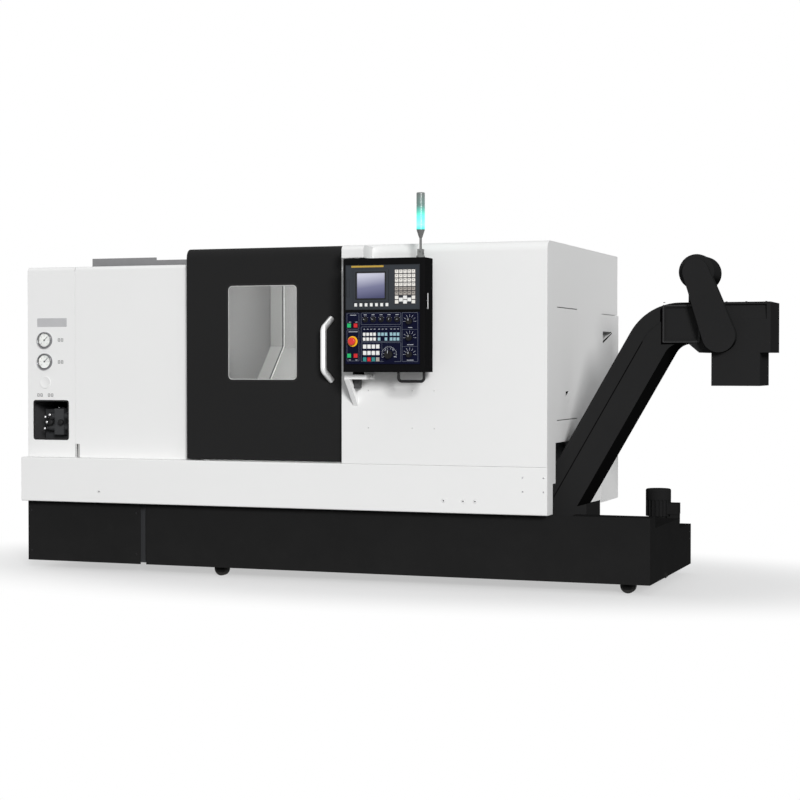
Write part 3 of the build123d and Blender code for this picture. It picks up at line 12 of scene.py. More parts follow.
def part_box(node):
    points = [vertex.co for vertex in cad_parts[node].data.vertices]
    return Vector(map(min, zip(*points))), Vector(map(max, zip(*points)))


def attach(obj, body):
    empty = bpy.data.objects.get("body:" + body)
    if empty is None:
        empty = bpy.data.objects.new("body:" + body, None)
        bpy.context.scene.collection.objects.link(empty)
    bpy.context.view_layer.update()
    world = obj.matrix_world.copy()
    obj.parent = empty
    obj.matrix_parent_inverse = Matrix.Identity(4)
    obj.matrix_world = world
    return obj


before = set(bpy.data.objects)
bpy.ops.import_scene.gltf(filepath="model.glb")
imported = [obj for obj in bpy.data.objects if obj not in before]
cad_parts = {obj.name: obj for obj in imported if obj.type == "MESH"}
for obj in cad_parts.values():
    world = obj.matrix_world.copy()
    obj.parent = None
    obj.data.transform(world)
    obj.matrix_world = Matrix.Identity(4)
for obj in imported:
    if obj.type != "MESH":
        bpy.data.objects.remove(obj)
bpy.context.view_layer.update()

bl_info = {
    "name": "Turning Lathe Dressing",
    "version": (1, 0, 0),
    "blender": (4, 5, 0),
    "location": "View3D > Sidebar > Lathe",
    "description": "Finishes, control panel, trim and studio stage for the turning lathe",
    "category": "Object",
}

MM = 0.001
SKIRT_LOW = Vector(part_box("skirt")[0])
PANEL_LOW, PANEL_HIGH = (Vector(corner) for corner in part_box("operator_panel"))
DISPLAY_LOW, DISPLAY_HIGH = (Vector(corner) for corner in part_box("display_unit"))


def at(x, y, z):
    """A point given in millimetres from the skirt's left front corner and the floor."""
    return Vector((SKIRT_LOW.x + x * MM, SKIRT_LOW.y + y * MM, z * MM))


# ---------------------------------------------------------------- mesh helpers


def rounded_outline(x0, x1, z0, z1, radius, steps=5):
    """Corner-rounded rectangle as (x, z) pairs in millimetres, anticlockwise from the front."""
    corners = ((x1 - radius, z0 + radius, -90), (x1 - radius, z1 - radius, 0),
               (x0 + radius, z1 - radius, 90), (x0 + radius, z0 + radius, 180))
    points = []
    for cx, cz, start in corners:
        for step in range(steps + 1):
            angle = math.radians(start + 90 * step / steps)
            points.append((cx + radius * math.cos(angle), cz + radius * math.sin(angle)))
    return points


def round_outline(x, z, radius, steps=40):
    turns = (2 * math.pi * step / steps for step in range(steps))
    return [(x + radius * math.cos(a), z + radius * math.sin(a)) for a in turns]


def front_place(depth):
    return lambda a, b: at(a, depth, b)


def side_place(depth):
    return lambda a, b: at(depth, a, b)


def top_place(depth):
    return lambda a, b: at(a, b, depth)


def add_slab(bm, outline, back, front, finish=0, place=front_place, hole=None):
    """A flat plate between two depths, with an optional hole of as many points as its outline."""
    rims = []
    for points in (outline, hole) if hole else (outline,):
        rims.append([[bm.verts.new(place(depth)(a, b)) for a, b in points] for depth in (back, front)])
    faces = []
    count = len(outline)
    for low, high in rims:
        for i in range(count):
            j = (i + 1) % count
            faces.append(bm.faces.new((low[i], low[j], high[j], high[i])))
    if hole:
        for level in (0, 1):
            outer = rims[0][level]
            inner = rims[1][level]
            for i in range(count):
                j = (i + 1) % count
                faces.append(bm.faces.new((outer[i], outer[j], inner[j], inner[i])))
    else:
        faces.append(bm.faces.new(rims[0][0]))
        faces.append(bm.faces.new(rims[0][1]))
    for face in faces:
        face.material_index = finish
    return faces


def add_bar(bm, start, end, width, back, front, finish=0, place=front_place):
    """A straight printed line of the given width between two points of a face."""
    a = Vector(start)
    b = Vector(end)
    side = (b - a).normalized() * (width / 2)
    side = Vector((-side.y, side.x))
    outline = [tuple(a - side), tuple(b - side), tuple(b + side), tuple(a + side)]
    return add_slab(bm, outline, back, front, finish, place)


def add_frame(bm, x0, x1, z0, z1, radius, width, back, front, finish=0, place=front_place):
    outer = rounded_outline(x0, x1, z0, z1, radius)
    inner = rounded_outline(x0 + width, x1 - width, z0 + width, z1 - width, max(radius - width, radius / 4))
    return add_slab(bm, outer, back, front, finish, place, inner)


def add_turned(bm, profile, centre, axis, finish=0, steps=32):
    """Turns a profile of (radius, height) pairs in millimetres round an axis through a point."""
    turn = Vector((0, 0, 1)).rotation_difference(Vector(axis)).to_matrix()
    rings = []
    for radius, height in profile:
        if radius == 0:
            rings.append([bm.verts.new(centre + turn @ Vector((0, 0, height * MM)))])
            continue
        ring = []
        for step in range(steps):
            angle = 2 * math.pi * step / steps
            point = Vector((radius * math.cos(angle), radius * math.sin(angle), height)) * MM
            ring.append(bm.verts.new(centre + turn @ point))
        rings.append(ring)
    for low, high in zip(rings, rings[1:]):
        for step in range(steps):
            after = (step + 1) % steps
            if len(low) == 1 and len(high) == 1:
                continue
            if len(low) == 1:
                face = bm.faces.new((low[0], high[step], high[after]))
            elif len(high) == 1:
                face = bm.faces.new((low[step], low[after], high[0]))
            else:
                face = bm.faces.new((low[step], low[after], high[after], high[step]))
            face.material_index = finish
            face.smooth = True


def show(name, mesh, finishes, body, bevel=0.0):
    """Links a finished mesh, gives it its finishes and lets it ride on a body."""
    for finish in finishes:
        mesh.materials.append(bpy.data.materials[finish])
    piece = bpy.data.objects.new(name, mesh)
    bpy.context.scene.collection.objects.link(piece)
    if bevel:
        edge = piece.modifiers.new("edge", "BEVEL")
        edge.width = bevel * MM
        edge.segments = 2
        edge.limit_method = "ANGLE"
        edge.angle_limit = math.radians(40)
    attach(piece, body)
    return piece


def show_bmesh(name, bm, finishes, body, bevel=0.0):
    bmesh.ops.recalc_face_normals(bm, faces=bm.faces)
    mesh = bpy.data.meshes.new(name)
    bm.to_mesh(mesh)
    bm.free()
    return show(name, mesh, finishes, body, bevel)


def text_mesh(words, size, spot, finish_depth):
    """Plain figures as a flat mesh on a front face, centred on a millimetre spot."""
    curve = bpy.data.curves.new("figures", "FONT")
    curve.body = words
    curve.size = size * MM
    curve.align_x = "CENTER"
    curve.align_y = "CENTER"
    curve.extrude = finish_depth * MM
    holder = bpy.data.objects.new("figures", curve)
    bpy.context.scene.collection.objects.link(holder)
    graph = bpy.context.evaluated_depsgraph_get()
    mesh = bpy.data.meshes.new_from_object(holder.evaluated_get(graph))
    bpy.data.objects.remove(holder)
    mesh.transform(Matrix.Translation(spot) @ Matrix.Rotation(math.radians(90), 4, "X"))
    return mesh


# ------------------------------------------------------------ geometry node trees


def node_tree(name, sockets):
    """A geometry tree with the named inputs, and short calls for placing and joining its nodes."""
    tree = bpy.data.node_groups.new(name, "GeometryNodeTree")
    tree.interface.new_socket("Geometry", in_out="OUTPUT", socket_type="NodeSocketGeometry")
    for label, kind in sockets:
        tree.interface.new_socket(label, in_out="INPUT", socket_type=kind)
    source = tree.nodes.new("NodeGroupInput")
    sink = tree.nodes.new("NodeGroupOutput")

    def put(kind, settings=None, **links):
        node = tree.nodes.new(kind)
        for label, value in (settings or {}).items():
            setattr(node, label, value)
        for label, value in links.items():
            socket = node.inputs[label.replace("_", " ")]
            if hasattr(value, "is_output"):
                tree.links.new(value, socket)
            else:
                socket.default_value = value
        return node

    def maths(operation, a, b):
        node = tree.nodes.new("ShaderNodeMath")
        node.operation = operation
        for socket, value in zip(node.inputs, (a, b)):
            if hasattr(value, "is_output"):
                tree.links.new(value, socket)
            else:
                socket.default_value = value
        return node.outputs[0]

    return tree, source.outputs, sink.inputs[0], put, maths


def run_tree(name, tree, values, points=None, facing=None):
    """Runs a tree on scratch points and gives back the plain mesh that it makes."""
    mesh = bpy.data.meshes.new(name)
    if points:
        mesh.from_pydata(points, [], [])
        layer = mesh.attributes.new("facing", "FLOAT_VECTOR", "POINT")
        layer.data.foreach_set("vector", [value for vector in facing for value in vector])
    seed = bpy.data.objects.new(name, mesh)
    bpy.context.scene.collection.objects.link(seed)
    maker = seed.modifiers.new("maker", "NODES")
    maker.node_group = tree
    for item in tree.interface.items_tree:
        if item.in_out == "INPUT" and item.name in values:
            maker[item.identifier] = values[item.name]
    graph = bpy.context.evaluated_depsgraph_get()
    made = bpy.data.meshes.new_from_object(seed.evaluated_get(graph))
    bpy.data.objects.remove(seed)
    bpy.data.meshes.remove(mesh)
    made.name = name
    return made


def screw_tree():
    """Pan-head screws whose hex socket is a flat near-black hexagon, painted shade of the recess, one on each point,
    turned to the point's facing.
    """
    tree, given, out, put, maths = node_tree("ScrewHeads", (
        ("Points", "NodeSocketGeometry"), ("Radius", "NodeSocketFloat"), ("Height", "NodeSocketFloat"),
        ("Finish", "NodeSocketMaterial"), ("SocketShade", "NodeSocketMaterial")))
    head = put("GeometryNodeMeshCone", Vertices=16, Radius_Top=maths("MULTIPLY", given["Radius"], 0.74),
               Radius_Bottom=given["Radius"], Depth=given["Height"])
    head = put("GeometryNodeSetMaterial", Geometry=head.outputs["Mesh"], Material=given["Finish"])
    # the socket: a thin hexagon in the shade finish, painted shade where the recess would be
    hexagon = put("GeometryNodeMeshCone", Vertices=6, Radius_Top=maths("MULTIPLY", given["Radius"], 0.4),
                  Radius_Bottom=maths("MULTIPLY", given["Radius"], 0.42), Depth=maths("MULTIPLY", given["Height"], 0.1))
    lift = put("ShaderNodeCombineXYZ", Z=maths("MULTIPLY", given["Height"], 0.93))
    hexagon = put("GeometryNodeTransform", Geometry=hexagon.outputs["Mesh"], Translation=lift.outputs[0])
    hexagon = put("GeometryNodeSetMaterial", Geometry=hexagon.outputs[0], Material=given["SocketShade"])
    whole = put("GeometryNodeJoinGeometry")
    tree.links.new(head.outputs[0], whole.inputs[0])
    tree.links.new(hexagon.outputs[0], whole.inputs[0])
    facing = put("GeometryNodeInputNamedAttribute", {"data_type": "FLOAT_VECTOR"}, Name="facing")
    turn = put("FunctionNodeAlignRotationToVector", {"axis": "Z"}, Vector=facing.outputs["Attribute"])
    placed = put("GeometryNodeInstanceOnPoints", Points=given["Points"], Instance=whole.outputs[0],
                 Rotation=turn.outputs[0])
    real = put("GeometryNodeRealizeInstances", Geometry=placed.outputs[0])
    tree.links.new(real.outputs[0], out)
    return tree


def key_tree():
    """A grid of tapered key caps that face the front, from the grid's lower left corner."""
    tree, given, out, put, maths = node_tree("KeyGrid", (
        ("Columns", "NodeSocketInt"), ("Rows", "NodeSocketInt"), ("Pitch X", "NodeSocketFloat"),
        ("Pitch Z", "NodeSocketFloat"), ("Width", "NodeSocketFloat"), ("Tall", "NodeSocketFloat"),
        ("Proud", "NodeSocketFloat"), ("Taper", "NodeSocketFloat"), ("Finish", "NodeSocketMaterial")))
    span_x = maths("MULTIPLY", maths("SUBTRACT", given["Columns"], 1.0), given["Pitch X"])
    span_z = maths("MULTIPLY", maths("SUBTRACT", given["Rows"], 1.0), given["Pitch Z"])
    grid = put("GeometryNodeMeshGrid", Size_X=span_x, Size_Y=span_z, Vertices_X=given["Columns"],
               Vertices_Y=given["Rows"])
    cap = put("GeometryNodeMeshCone", Vertices=4, Radius_Top=maths("MULTIPLY", given["Taper"], math.sqrt(0.5)),
              Radius_Bottom=math.sqrt(0.5), Depth=1.0)
    square = put("GeometryNodeTransform", Geometry=cap.outputs["Mesh"], Rotation=(0, 0, math.radians(45)))
    scale = put("ShaderNodeCombineXYZ", X=given["Width"], Y=given["Tall"], Z=given["Proud"])
    sized = put("GeometryNodeTransform", Geometry=square.outputs[0], Scale=scale.outputs[0])
    placed = put("GeometryNodeInstanceOnPoints", Points=grid.outputs["Mesh"], Instance=sized.outputs[0])
    real = put("GeometryNodeRealizeInstances", Geometry=placed.outputs[0])
    corner = put("ShaderNodeCombineXYZ", X=maths("MULTIPLY", span_x, 0.5), Z=maths("MULTIPLY", span_z, 0.5))
    upright = put("GeometryNodeTransform", Geometry=real.outputs[0], Rotation=(math.radians(90), 0, 0),
                  Translation=corner.outputs[0])
    done = put("GeometryNodeSetMaterial", Geometry=upright.outputs[0], Material=given["Finish"])
    tree.links.new(done.outputs[0], out)
    return tree


def mark_tree():
    """Scale marks on an arc round the origin, facing the front."""
    tree, given, out, put, maths = node_tree("ScaleMarks", (
        ("Count", "NodeSocketInt"), ("Radius", "NodeSocketFloat"), ("Start", "NodeSocketFloat"),
        ("Sweep", "NodeSocketFloat"), ("Length", "NodeSocketFloat"), ("Width", "NodeSocketFloat"),
        ("Proud", "NodeSocketFloat"), ("Finish", "NodeSocketMaterial")))
    line = put("GeometryNodeMeshLine", Count=given["Count"])
    index = put("GeometryNodeInputIndex")
    part = maths("DIVIDE", index.outputs[0], maths("MAXIMUM", maths("SUBTRACT", given["Count"], 1.0), 1.0))
    angle = maths("ADD", given["Start"], maths("MULTIPLY", part, given["Sweep"]))
    spot = put("ShaderNodeCombineXYZ", X=maths("MULTIPLY", given["Radius"], maths("COSINE", angle, 0.0)),
               Z=maths("MULTIPLY", given["Radius"], maths("SINE", angle, 0.0)))
    points = put("GeometryNodeSetPosition", Geometry=line.outputs[0], Position=spot.outputs[0])
    size = put("ShaderNodeCombineXYZ", X=given["Length"], Y=given["Proud"], Z=given["Width"])
    mark = put("GeometryNodeMeshCube", Size=size.outputs[0])
    turn = put("ShaderNodeCombineXYZ", Y=maths("MULTIPLY", angle, -1.0))
    placed = put("GeometryNodeInstanceOnPoints", Points=points.outputs[0], Instance=mark.outputs[0],
                 Rotation=turn.outputs[0])
    real = put("GeometryNodeRealizeInstances", Geometry=placed.outputs[0])
    done = put("GeometryNodeSetMaterial", Geometry=real.outputs[0], Material=given["Finish"])
    tree.links.new(done.outputs[0], out)
    return tree


def tree_named(name, maker):
    return bpy.data.node_groups.get(name) or maker()


def screws(name, spots, radius, height, finish, body, facing=(0, -1, 0)):
    """A group of like screws on millimetre spots, all turned one way."""
    points = [at(*spot) for spot in spots]
    mesh = run_tree(name, tree_named("ScrewHeads", screw_tree), {
        "Radius": radius * MM, "Height": height * MM, "Finish": bpy.data.materials[finish],
        "SocketShade": bpy.data.materials["SocketShadow"]}, points, [facing] * len(points))
    return show(name, mesh, (), body)


def keys(name, corner, columns, rows, pitch, size, proud, finish, body="pendant", taper=0.86):
    """A block of key caps; corner is the middle of the lower left key on its face."""
    mesh = run_tree(name, tree_named("KeyGrid", key_tree), {
        "Columns": columns, "Rows": rows, "Pitch X": pitch[0] * MM, "Pitch Z": pitch[1] * MM,
        "Width": size[0] * MM, "Tall": size[1] * MM, "Proud": proud * MM, "Taper": taper,
        "Finish": bpy.data.materials[finish]})
    mesh.transform(Matrix.Translation(corner))
    return show(name, mesh, (), body, bevel=0.5)


def marks(centre, count, radius, start, sweep, length, width, finish):
    """A mesh of scale marks round a point of a front face."""
    mesh = run_tree("marks", tree_named("ScaleMarks", mark_tree), {
        "Count": count, "Radius": radius * MM, "Start": math.radians(start), "Sweep": math.radians(sweep),
        "Length": length * MM, "Width": width * MM, "Proud": 0.5 * MM, "Finish": bpy.data.materials[finish]})
    mesh.transform(Matrix.Translation(centre))
    return mesh


def join_meshes(name, meshes, body, slot):
    """Joins plain meshes of one finish into one piece."""
    bm = bmesh.new()
    for mesh in meshes:
        bm.from_mesh(mesh)
    joined = bpy.data.meshes.new(name)
    bm.to_mesh(joined)
    bm.free()
    joined.materials.clear()
    return joined


# ------------------------------------------------------------------ finishes


class Shader:
    """One material, with short calls for placing and joining its nodes."""

    def __init__(self, name):
        self.material = bpy.data.materials.new(name)
        self.material.use_nodes = True
        self.tree = self.material.node_tree
        self.tree.nodes.clear()
        self.out = self.tree.nodes.new("ShaderNodeOutputMaterial")
        self.bsdf = self.tree.nodes.new("ShaderNodeBsdfPrincipled")
        self.tree.links.new(self.bsdf.outputs[0], self.out.inputs[0])
        self.coords = self.tree.nodes.new("ShaderNodeTexCoord").outputs["Object"]

    def put(self, kind, settings=None, **links):
        return put_node(self.tree, kind, settings, links)

    def group(self, name, **links):
        return put_node(self.tree, "ShaderNodeGroup", {"node_tree": bpy.data.node_groups[name]}, links)

    def set(self, **values):
        for label, value in values.items():
            socket = self.bsdf.inputs[label.replace("_", " ")]
            if hasattr(value, "is_output"):
                self.tree.links.new(value, socket)
            else:
                socket.default_value = value

    def blend(self, factor, low, high):
        node = self.put("ShaderNodeMix", {"data_type": "RGBA"})
        self.tree.links.new(factor, node.inputs[0])
        for socket, value in ((node.inputs[6], low), (node.inputs[7], high)):
            if hasattr(value, "is_output"):
                self.tree.links.new(value, socket)
            else:
                socket.default_value = value
        return node.outputs[2]

    def between(self, factor, low, high):
        node = self.put("ShaderNodeMapRange", To_Min=low, To_Max=high)
        self.tree.links.new(factor, node.inputs["Value"])
        return node.outputs[0]

    def relief(self, height, strength, distance, edge):
        """Bump over softly rounded edges."""
        soft = self.put("ShaderNodeBevel", {"samples": 4}, Radius=edge)
        node = self.put("ShaderNodeBump", Strength=strength, Distance=distance, Height=height,
                        Normal=soft.outputs[0])
        self.set(Normal=node.outputs[0])


def put_node(tree, kind, settings, links):
    node = tree.nodes.new(kind)
    for label, value in (settings or {}).items():
        setattr(node, label, value)
    for label, value in links.items():
        socket = node.inputs[label.replace("_", " ")]
        if hasattr(value, "is_output"):
            tree.links.new(value, socket)
        else:
            socket.default_value = value
    return node


def shown_ray(tree):
    """One where the camera sees a surface directly, in a reflection or through glass."""
    path = tree.nodes.new("ShaderNodeLightPath")
    total = path.outputs["Is Camera Ray"]
    for label in ("Is Glossy Ray", "Is Transmission Ray"):
        node = tree.nodes.new("ShaderNodeMath")
        node.operation = "MAXIMUM"
        tree.links.new(total, node.inputs[0])
        tree.links.new(path.outputs[label], node.inputs[1])
        total = node.outputs[0]
    return total


def shader_group(name, inputs, outputs):
    tree = bpy.data.node_groups.new(name, "ShaderNodeTree")
    for label, kind, value in inputs:
        socket = tree.interface.new_socket(label, in_out="INPUT", socket_type=kind)
        if value is not None:
            socket.default_value = value
    for label in outputs:
        tree.interface.new_socket(label, in_out="OUTPUT", socket_type="NodeSocketFloat")
    source = tree.nodes.new("NodeGroupInput")
    sink = tree.nodes.new("NodeGroupOutput")

    def put(kind, settings=None, **links):
        return put_node(tree, kind, settings, links)

    return tree, source.outputs, sink.inputs, put


def build_shader_groups():
    """Effects that several finishes share."""
    tree, given, out, put = shader_group("CoatGrain", (
        ("Vector", "NodeSocketVector", None), ("Scale", "NodeSocketFloat", 300.0),
        ("Cloud", "NodeSocketFloat", 2.0)), ("Height", "Tone"))
    fine = put("ShaderNodeTexNoise", Vector=given["Vector"], Scale=given["Scale"], Detail=3.0, Roughness=0.55)
    cloud = put("ShaderNodeTexNoise", Vector=given["Vector"], Scale=given["Cloud"], Detail=4.0, Roughness=0.6)
    tree.links.new(fine.outputs["Fac"], out["Height"])
    tree.links.new(cloud.outputs["Fac"], out["Tone"])

    tree, given, out, put = shader_group("BrushLines", (
        ("Vector", "NodeSocketVector", None), ("Stretch", "NodeSocketVector", (8.0, 900.0, 900.0))),
        ("Height", "Tone"))
    along = put("ShaderNodeVectorMath", {"operation": "MULTIPLY"})
    tree.links.new(given["Vector"], along.inputs[0])
    tree.links.new(given["Stretch"], along.inputs[1])
    lines = put("ShaderNodeTexNoise", Vector=along.outputs[0], Scale=1.0, Detail=2.0, Roughness=0.6)
    cloud = put("ShaderNodeTexNoise", Vector=given["Vector"], Scale=14.0, Detail=3.0)
    tree.links.new(lines.outputs["Fac"], out["Height"])
    tree.links.new(cloud.outputs["Fac"], out["Tone"])

    tree, given, out, put = shader_group("FloorDust", (
        ("Vector", "NodeSocketVector", None), ("Top", "NodeSocketFloat", 0.5),
        ("Amount", "NodeSocketFloat", 0.3)), ("Mask",))
    apart = put("ShaderNodeSeparateXYZ", Vector=given["Vector"])
    fall = put("ShaderNodeMapRange", Value=apart.outputs["Z"], From_Min=0.0, From_Max=given["Top"],
               To_Min=1.0, To_Max=0.0)
    patch = put("ShaderNodeTexNoise", Vector=given["Vector"], Scale=9.0, Detail=5.0, Roughness=0.65)
    both = put("ShaderNodeMath", {"operation": "MULTIPLY"})
    tree.links.new(fall.outputs[0], both.inputs[0])
    tree.links.new(patch.outputs["Fac"], both.inputs[1])
    share = put("ShaderNodeMath", {"operation": "MULTIPLY"})
    tree.links.new(both.outputs[0], share.inputs[0])
    tree.links.new(given["Amount"], share.inputs[1])
    tree.links.new(share.outputs[0], out["Mask"])

    tree, given, out, put = shader_group("RubMarks", (
        ("Vector", "NodeSocketVector", None), ("Scale", "NodeSocketFloat", 18.0),
        ("Amount", "NodeSocketFloat", 0.5)), ("Mask",))
    warp = put("ShaderNodeTexNoise", Vector=given["Vector"], Scale=given["Scale"], Detail=6.0, Roughness=0.7)
    thin = put("ShaderNodeMapRange", Value=warp.outputs["Fac"], From_Min=0.62, From_Max=0.72)
    share = put("ShaderNodeMath", {"operation": "MULTIPLY"})
    tree.links.new(thin.outputs[0], share.inputs[0])
    tree.links.new(given["Amount"], share.inputs[1])
    tree.links.new(share.outputs[0], out["Mask"])


def shade(colour, factor):
    return tuple(min(1.0, value * factor) for value in colour[:3]) + (1.0,)


def coat(name, colour, roughness, scale, height, specular=0.5, tone=0.05, dust=0.0, dust_top=0.6, edge=1.5,
         clear=0.0, rub=0.0, cloud=1.7, underside_shade=1.0):
    """Paint or moulded plastic: grain, slow changes of tone, settled dust, rubbed patches, and painted shade on faces
    that point down.
    """
    s = Shader(name)
    grain = s.group("CoatGrain", Vector=s.coords, Scale=scale, Cloud=cloud)
    base = s.blend(grain.outputs["Tone"], shade(colour, 1 - tone), shade(colour, 1 + tone))
    rough = s.between(grain.outputs["Tone"], roughness - 0.05, roughness + 0.05)
    if rub:
        mask = s.group("RubMarks", Vector=s.coords, Amount=rub)
        base = s.blend(mask.outputs[0], base, shade(colour, 1.5))
        rough = put_node(s.tree, "ShaderNodeMath", {"operation": "ADD"}, {}).outputs[0]
        adder = rough.node
        s.tree.links.new(s.between(grain.outputs["Tone"], roughness - 0.05, roughness + 0.05), adder.inputs[0])
        s.tree.links.new(s.between(mask.outputs[0], 0.0, 0.12), adder.inputs[1])
    if dust:
        mask = s.group("FloorDust", Vector=s.coords, Top=dust_top, Amount=dust)
        base = s.blend(mask.outputs[0], base, (0.30, 0.29, 0.27, 1.0))
    # painted shade: faces that point down take a darker copy of the colour
    if underside_shade < 1:
        facing = s.put("ShaderNodeNewGeometry")
        apart = s.put("ShaderNodeSeparateXYZ", Vector=facing.outputs["Normal"])
        down = s.put("ShaderNodeMapRange", Value=apart.outputs["Z"], From_Min=-0.45, From_Max=-0.15, To_Min=1.0, To_Max=0.0)
        base = s.blend(down.outputs[0], base, shade(colour, underside_shade))
    s.set(Base_Color=base, Roughness=rough, Specular_IOR_Level=specular, Coat_Weight=clear)
    s.relief(grain.outputs["Height"], 0.35, height * MM, edge * MM)
    return s.material


def metal(name, colour, roughness, stretch, height=0.03, edge=0.8, tone=0.08, metallic=1.0):
    """Machined or brushed metal with lines along one direction."""
    s = Shader(name)
    lines = s.group("BrushLines", Vector=s.coords, Stretch=stretch)
    base = s.blend(lines.outputs["Tone"], shade(colour, 1 - tone), shade(colour, 1 + tone))
    s.set(Base_Color=base, Metallic=metallic, Roughness=s.between(lines.outputs["Height"], roughness - 0.08,
                                                                  roughness + 0.1))
    s.relief(lines.outputs["Height"], 0.4, height * MM, edge * MM)
    return s.material


def pane(name, colour, roughness):
    """Clear safety glass with a trace of smears."""
    s = Shader(name)
    grain = s.group("CoatGrain", Vector=s.coords, Scale=60.0, Cloud=5.0)
    s.set(Base_Color=tuple(colour) + (1.0,), Roughness=s.between(grain.outputs["Tone"], roughness, roughness + 0.05),
          Transmission_Weight=1.0, IOR=1.15, Metallic=0.0)
    return s.material


def lit_screen(name, low, high, left, right):
    """A lit screen whose glow fades from pale at the top to violet at the foot, with a painted highlight that lightens
    its left side.
    """
    s = Shader(name)
    apart = s.put("ShaderNodeSeparateXYZ", Vector=s.coords)
    rise = s.put("ShaderNodeMapRange", Value=apart.outputs["Z"], From_Min=low, From_Max=high)
    # painted highlight: the glow is lifted towards the left edge and lowered towards the right
    across = s.put("ShaderNodeMapRange", Value=apart.outputs["X"], From_Min=left, From_Max=right,
                   To_Min=0.08, To_Max=-0.08)
    total = s.put("ShaderNodeMath", {"operation": "ADD"})
    s.tree.links.new(rise.outputs[0], total.inputs[0])
    s.tree.links.new(across.outputs[0], total.inputs[1])
    ramp = s.put("ShaderNodeValToRGB", Fac=total.outputs[0])
    stops = ramp.color_ramp.elements
    stops[0].color = (0.050, 0.053, 0.106, 1)
    stops[1].color = (0.42, 0.425, 0.50, 1)
    middle = stops.new(0.45)
    middle.color = (0.13, 0.133, 0.21, 1)
    s.set(Base_Color=ramp.outputs[0], Roughness=0.25, Emission_Color=ramp.outputs[0], Emission_Strength=0.5,
          Specular_IOR_Level=0.1)
    return s.material


def split_coat(name, low_colour, high_colour, axis, level, roughness, specular):
    """Paint that changes colour at a level along one axis, where one solid carries two painted pieces."""
    s = Shader(name)
    grain = s.group("CoatGrain", Vector=s.coords, Scale=800.0, Cloud=1.7)
    apart = s.put("ShaderNodeSeparateXYZ", Vector=s.coords)
    above = s.put("ShaderNodeMath", {"operation": "GREATER_THAN"})
    s.tree.links.new(apart.outputs[axis], above.inputs[0])
    above.inputs[1].default_value = level
    low = s.blend(grain.outputs["Tone"], shade(low_colour, 0.94), shade(low_colour, 1.06))
    s.set(Base_Color=s.blend(above.outputs[0], low, shade(high_colour, 1.0)), Specular_IOR_Level=specular,
          Roughness=s.between(grain.outputs["Tone"], roughness - 0.05, roughness + 0.05))
    s.relief(grain.outputs["Height"], 0.35, 0.1 * MM, 2.0 * MM)
    return s.material


def lamp_glow(name, low, high):
    """Ribbed clear lens that glows green in its lower part."""
    s = Shader(name)
    apart = s.put("ShaderNodeSeparateXYZ", Vector=s.coords)
    rise = s.put("ShaderNodeMapRange", Value=apart.outputs["Z"], From_Min=low, From_Max=high)
    ramp = s.put("ShaderNodeValToRGB", Fac=rise.outputs[0])
    stops = ramp.color_ramp.elements
    stops[0].color = (0.0, 0.42, 0.36, 1)
    stops[1].color = (0.0, 0.0, 0.0, 1)
    for place, colour in ((0.12, (0.25, 1.0, 0.82, 1)), (0.3, (0.08, 0.95, 0.66, 1)), (0.48, (0.0, 0.35, 0.27, 1)),
                          (0.64, (0.0, 0.03, 0.025, 1))):
        stops.new(place).color = colour
    body = s.put("ShaderNodeValToRGB", Fac=rise.outputs[0])
    stops = body.color_ramp.elements
    stops[0].color = (0.05, 0.4, 0.33, 1)
    stops[1].color = (0.16, 0.17, 0.165, 1)
    stops.new(0.55).color = (0.13, 0.24, 0.21, 1)
    ribs = s.put("ShaderNodeTexWave", {"bands_direction": "Z"}, Vector=s.coords, Scale=60.0)
    s.set(Base_Color=body.outputs[0], Roughness=0.25, Emission_Color=ramp.outputs[0], Emission_Strength=1.3,
          Coat_Weight=0.4)
    s.relief(ribs.outputs["Fac"], 0.4, 0.6 * MM, 0.5 * MM)
    return s.material


NODE_FINISH = {
    "WhiteCoat": ("skirt left_end_cover headstock_cover right_cover roof_cover rear_cover right_side_panel "
                  "side_access_panel pendant_upper_arm electrical_cabinet cabinet_door"),
    "ArmCoat": "pendant_lower_arm",
    "DoorCoat": "door_panel",
    "BaseCoat": "base_cover coolant_tank coolant_pump",
    "ConveyorCoat": "conveyor_casing conveyor_cover chain_case conveyor_motor",
    "PendantCoat": "pendant_box",
    "CastingPaint": "bed headstock saddle cross_slide turret_housing hydraulic_unit",
    "ChamberSheet": "chamber_left_wall chamber_right_wall chip_guides",
    "WaySheet": "way_cover_left_moving way_cover_right",
    "TurnedSteel": "spindle chuck turret_disc chuck_jaw_1 chuck_jaw_2 chuck_jaw_3 bed_feet conveyor_shaft",
    "BeltSteel": "conveyor_belt",
    "RailSteel": "door_rail",
    "SafetyGlass": "door_window",
    "GripAluminium": "door_handle",
    "BlackPlastic": "pendant_handle pressure_gauges override_dial rotary_knob_1 rotary_knob_2 rotary_knob_3",
    "DisplayPlastic": "display_unit",
    "NavyPanel": "operator_panel",
    "StopRed": "estop_button",
    "PoleGrey": "lamp_pole",
    "LampGlow": "lamp_lens",
    "DriveGrey": "drive_rack",
    "WheelRubber": "castor_wheel_1 castor_wheel_2 castor_wheel_3 castor_wheel_4",
}


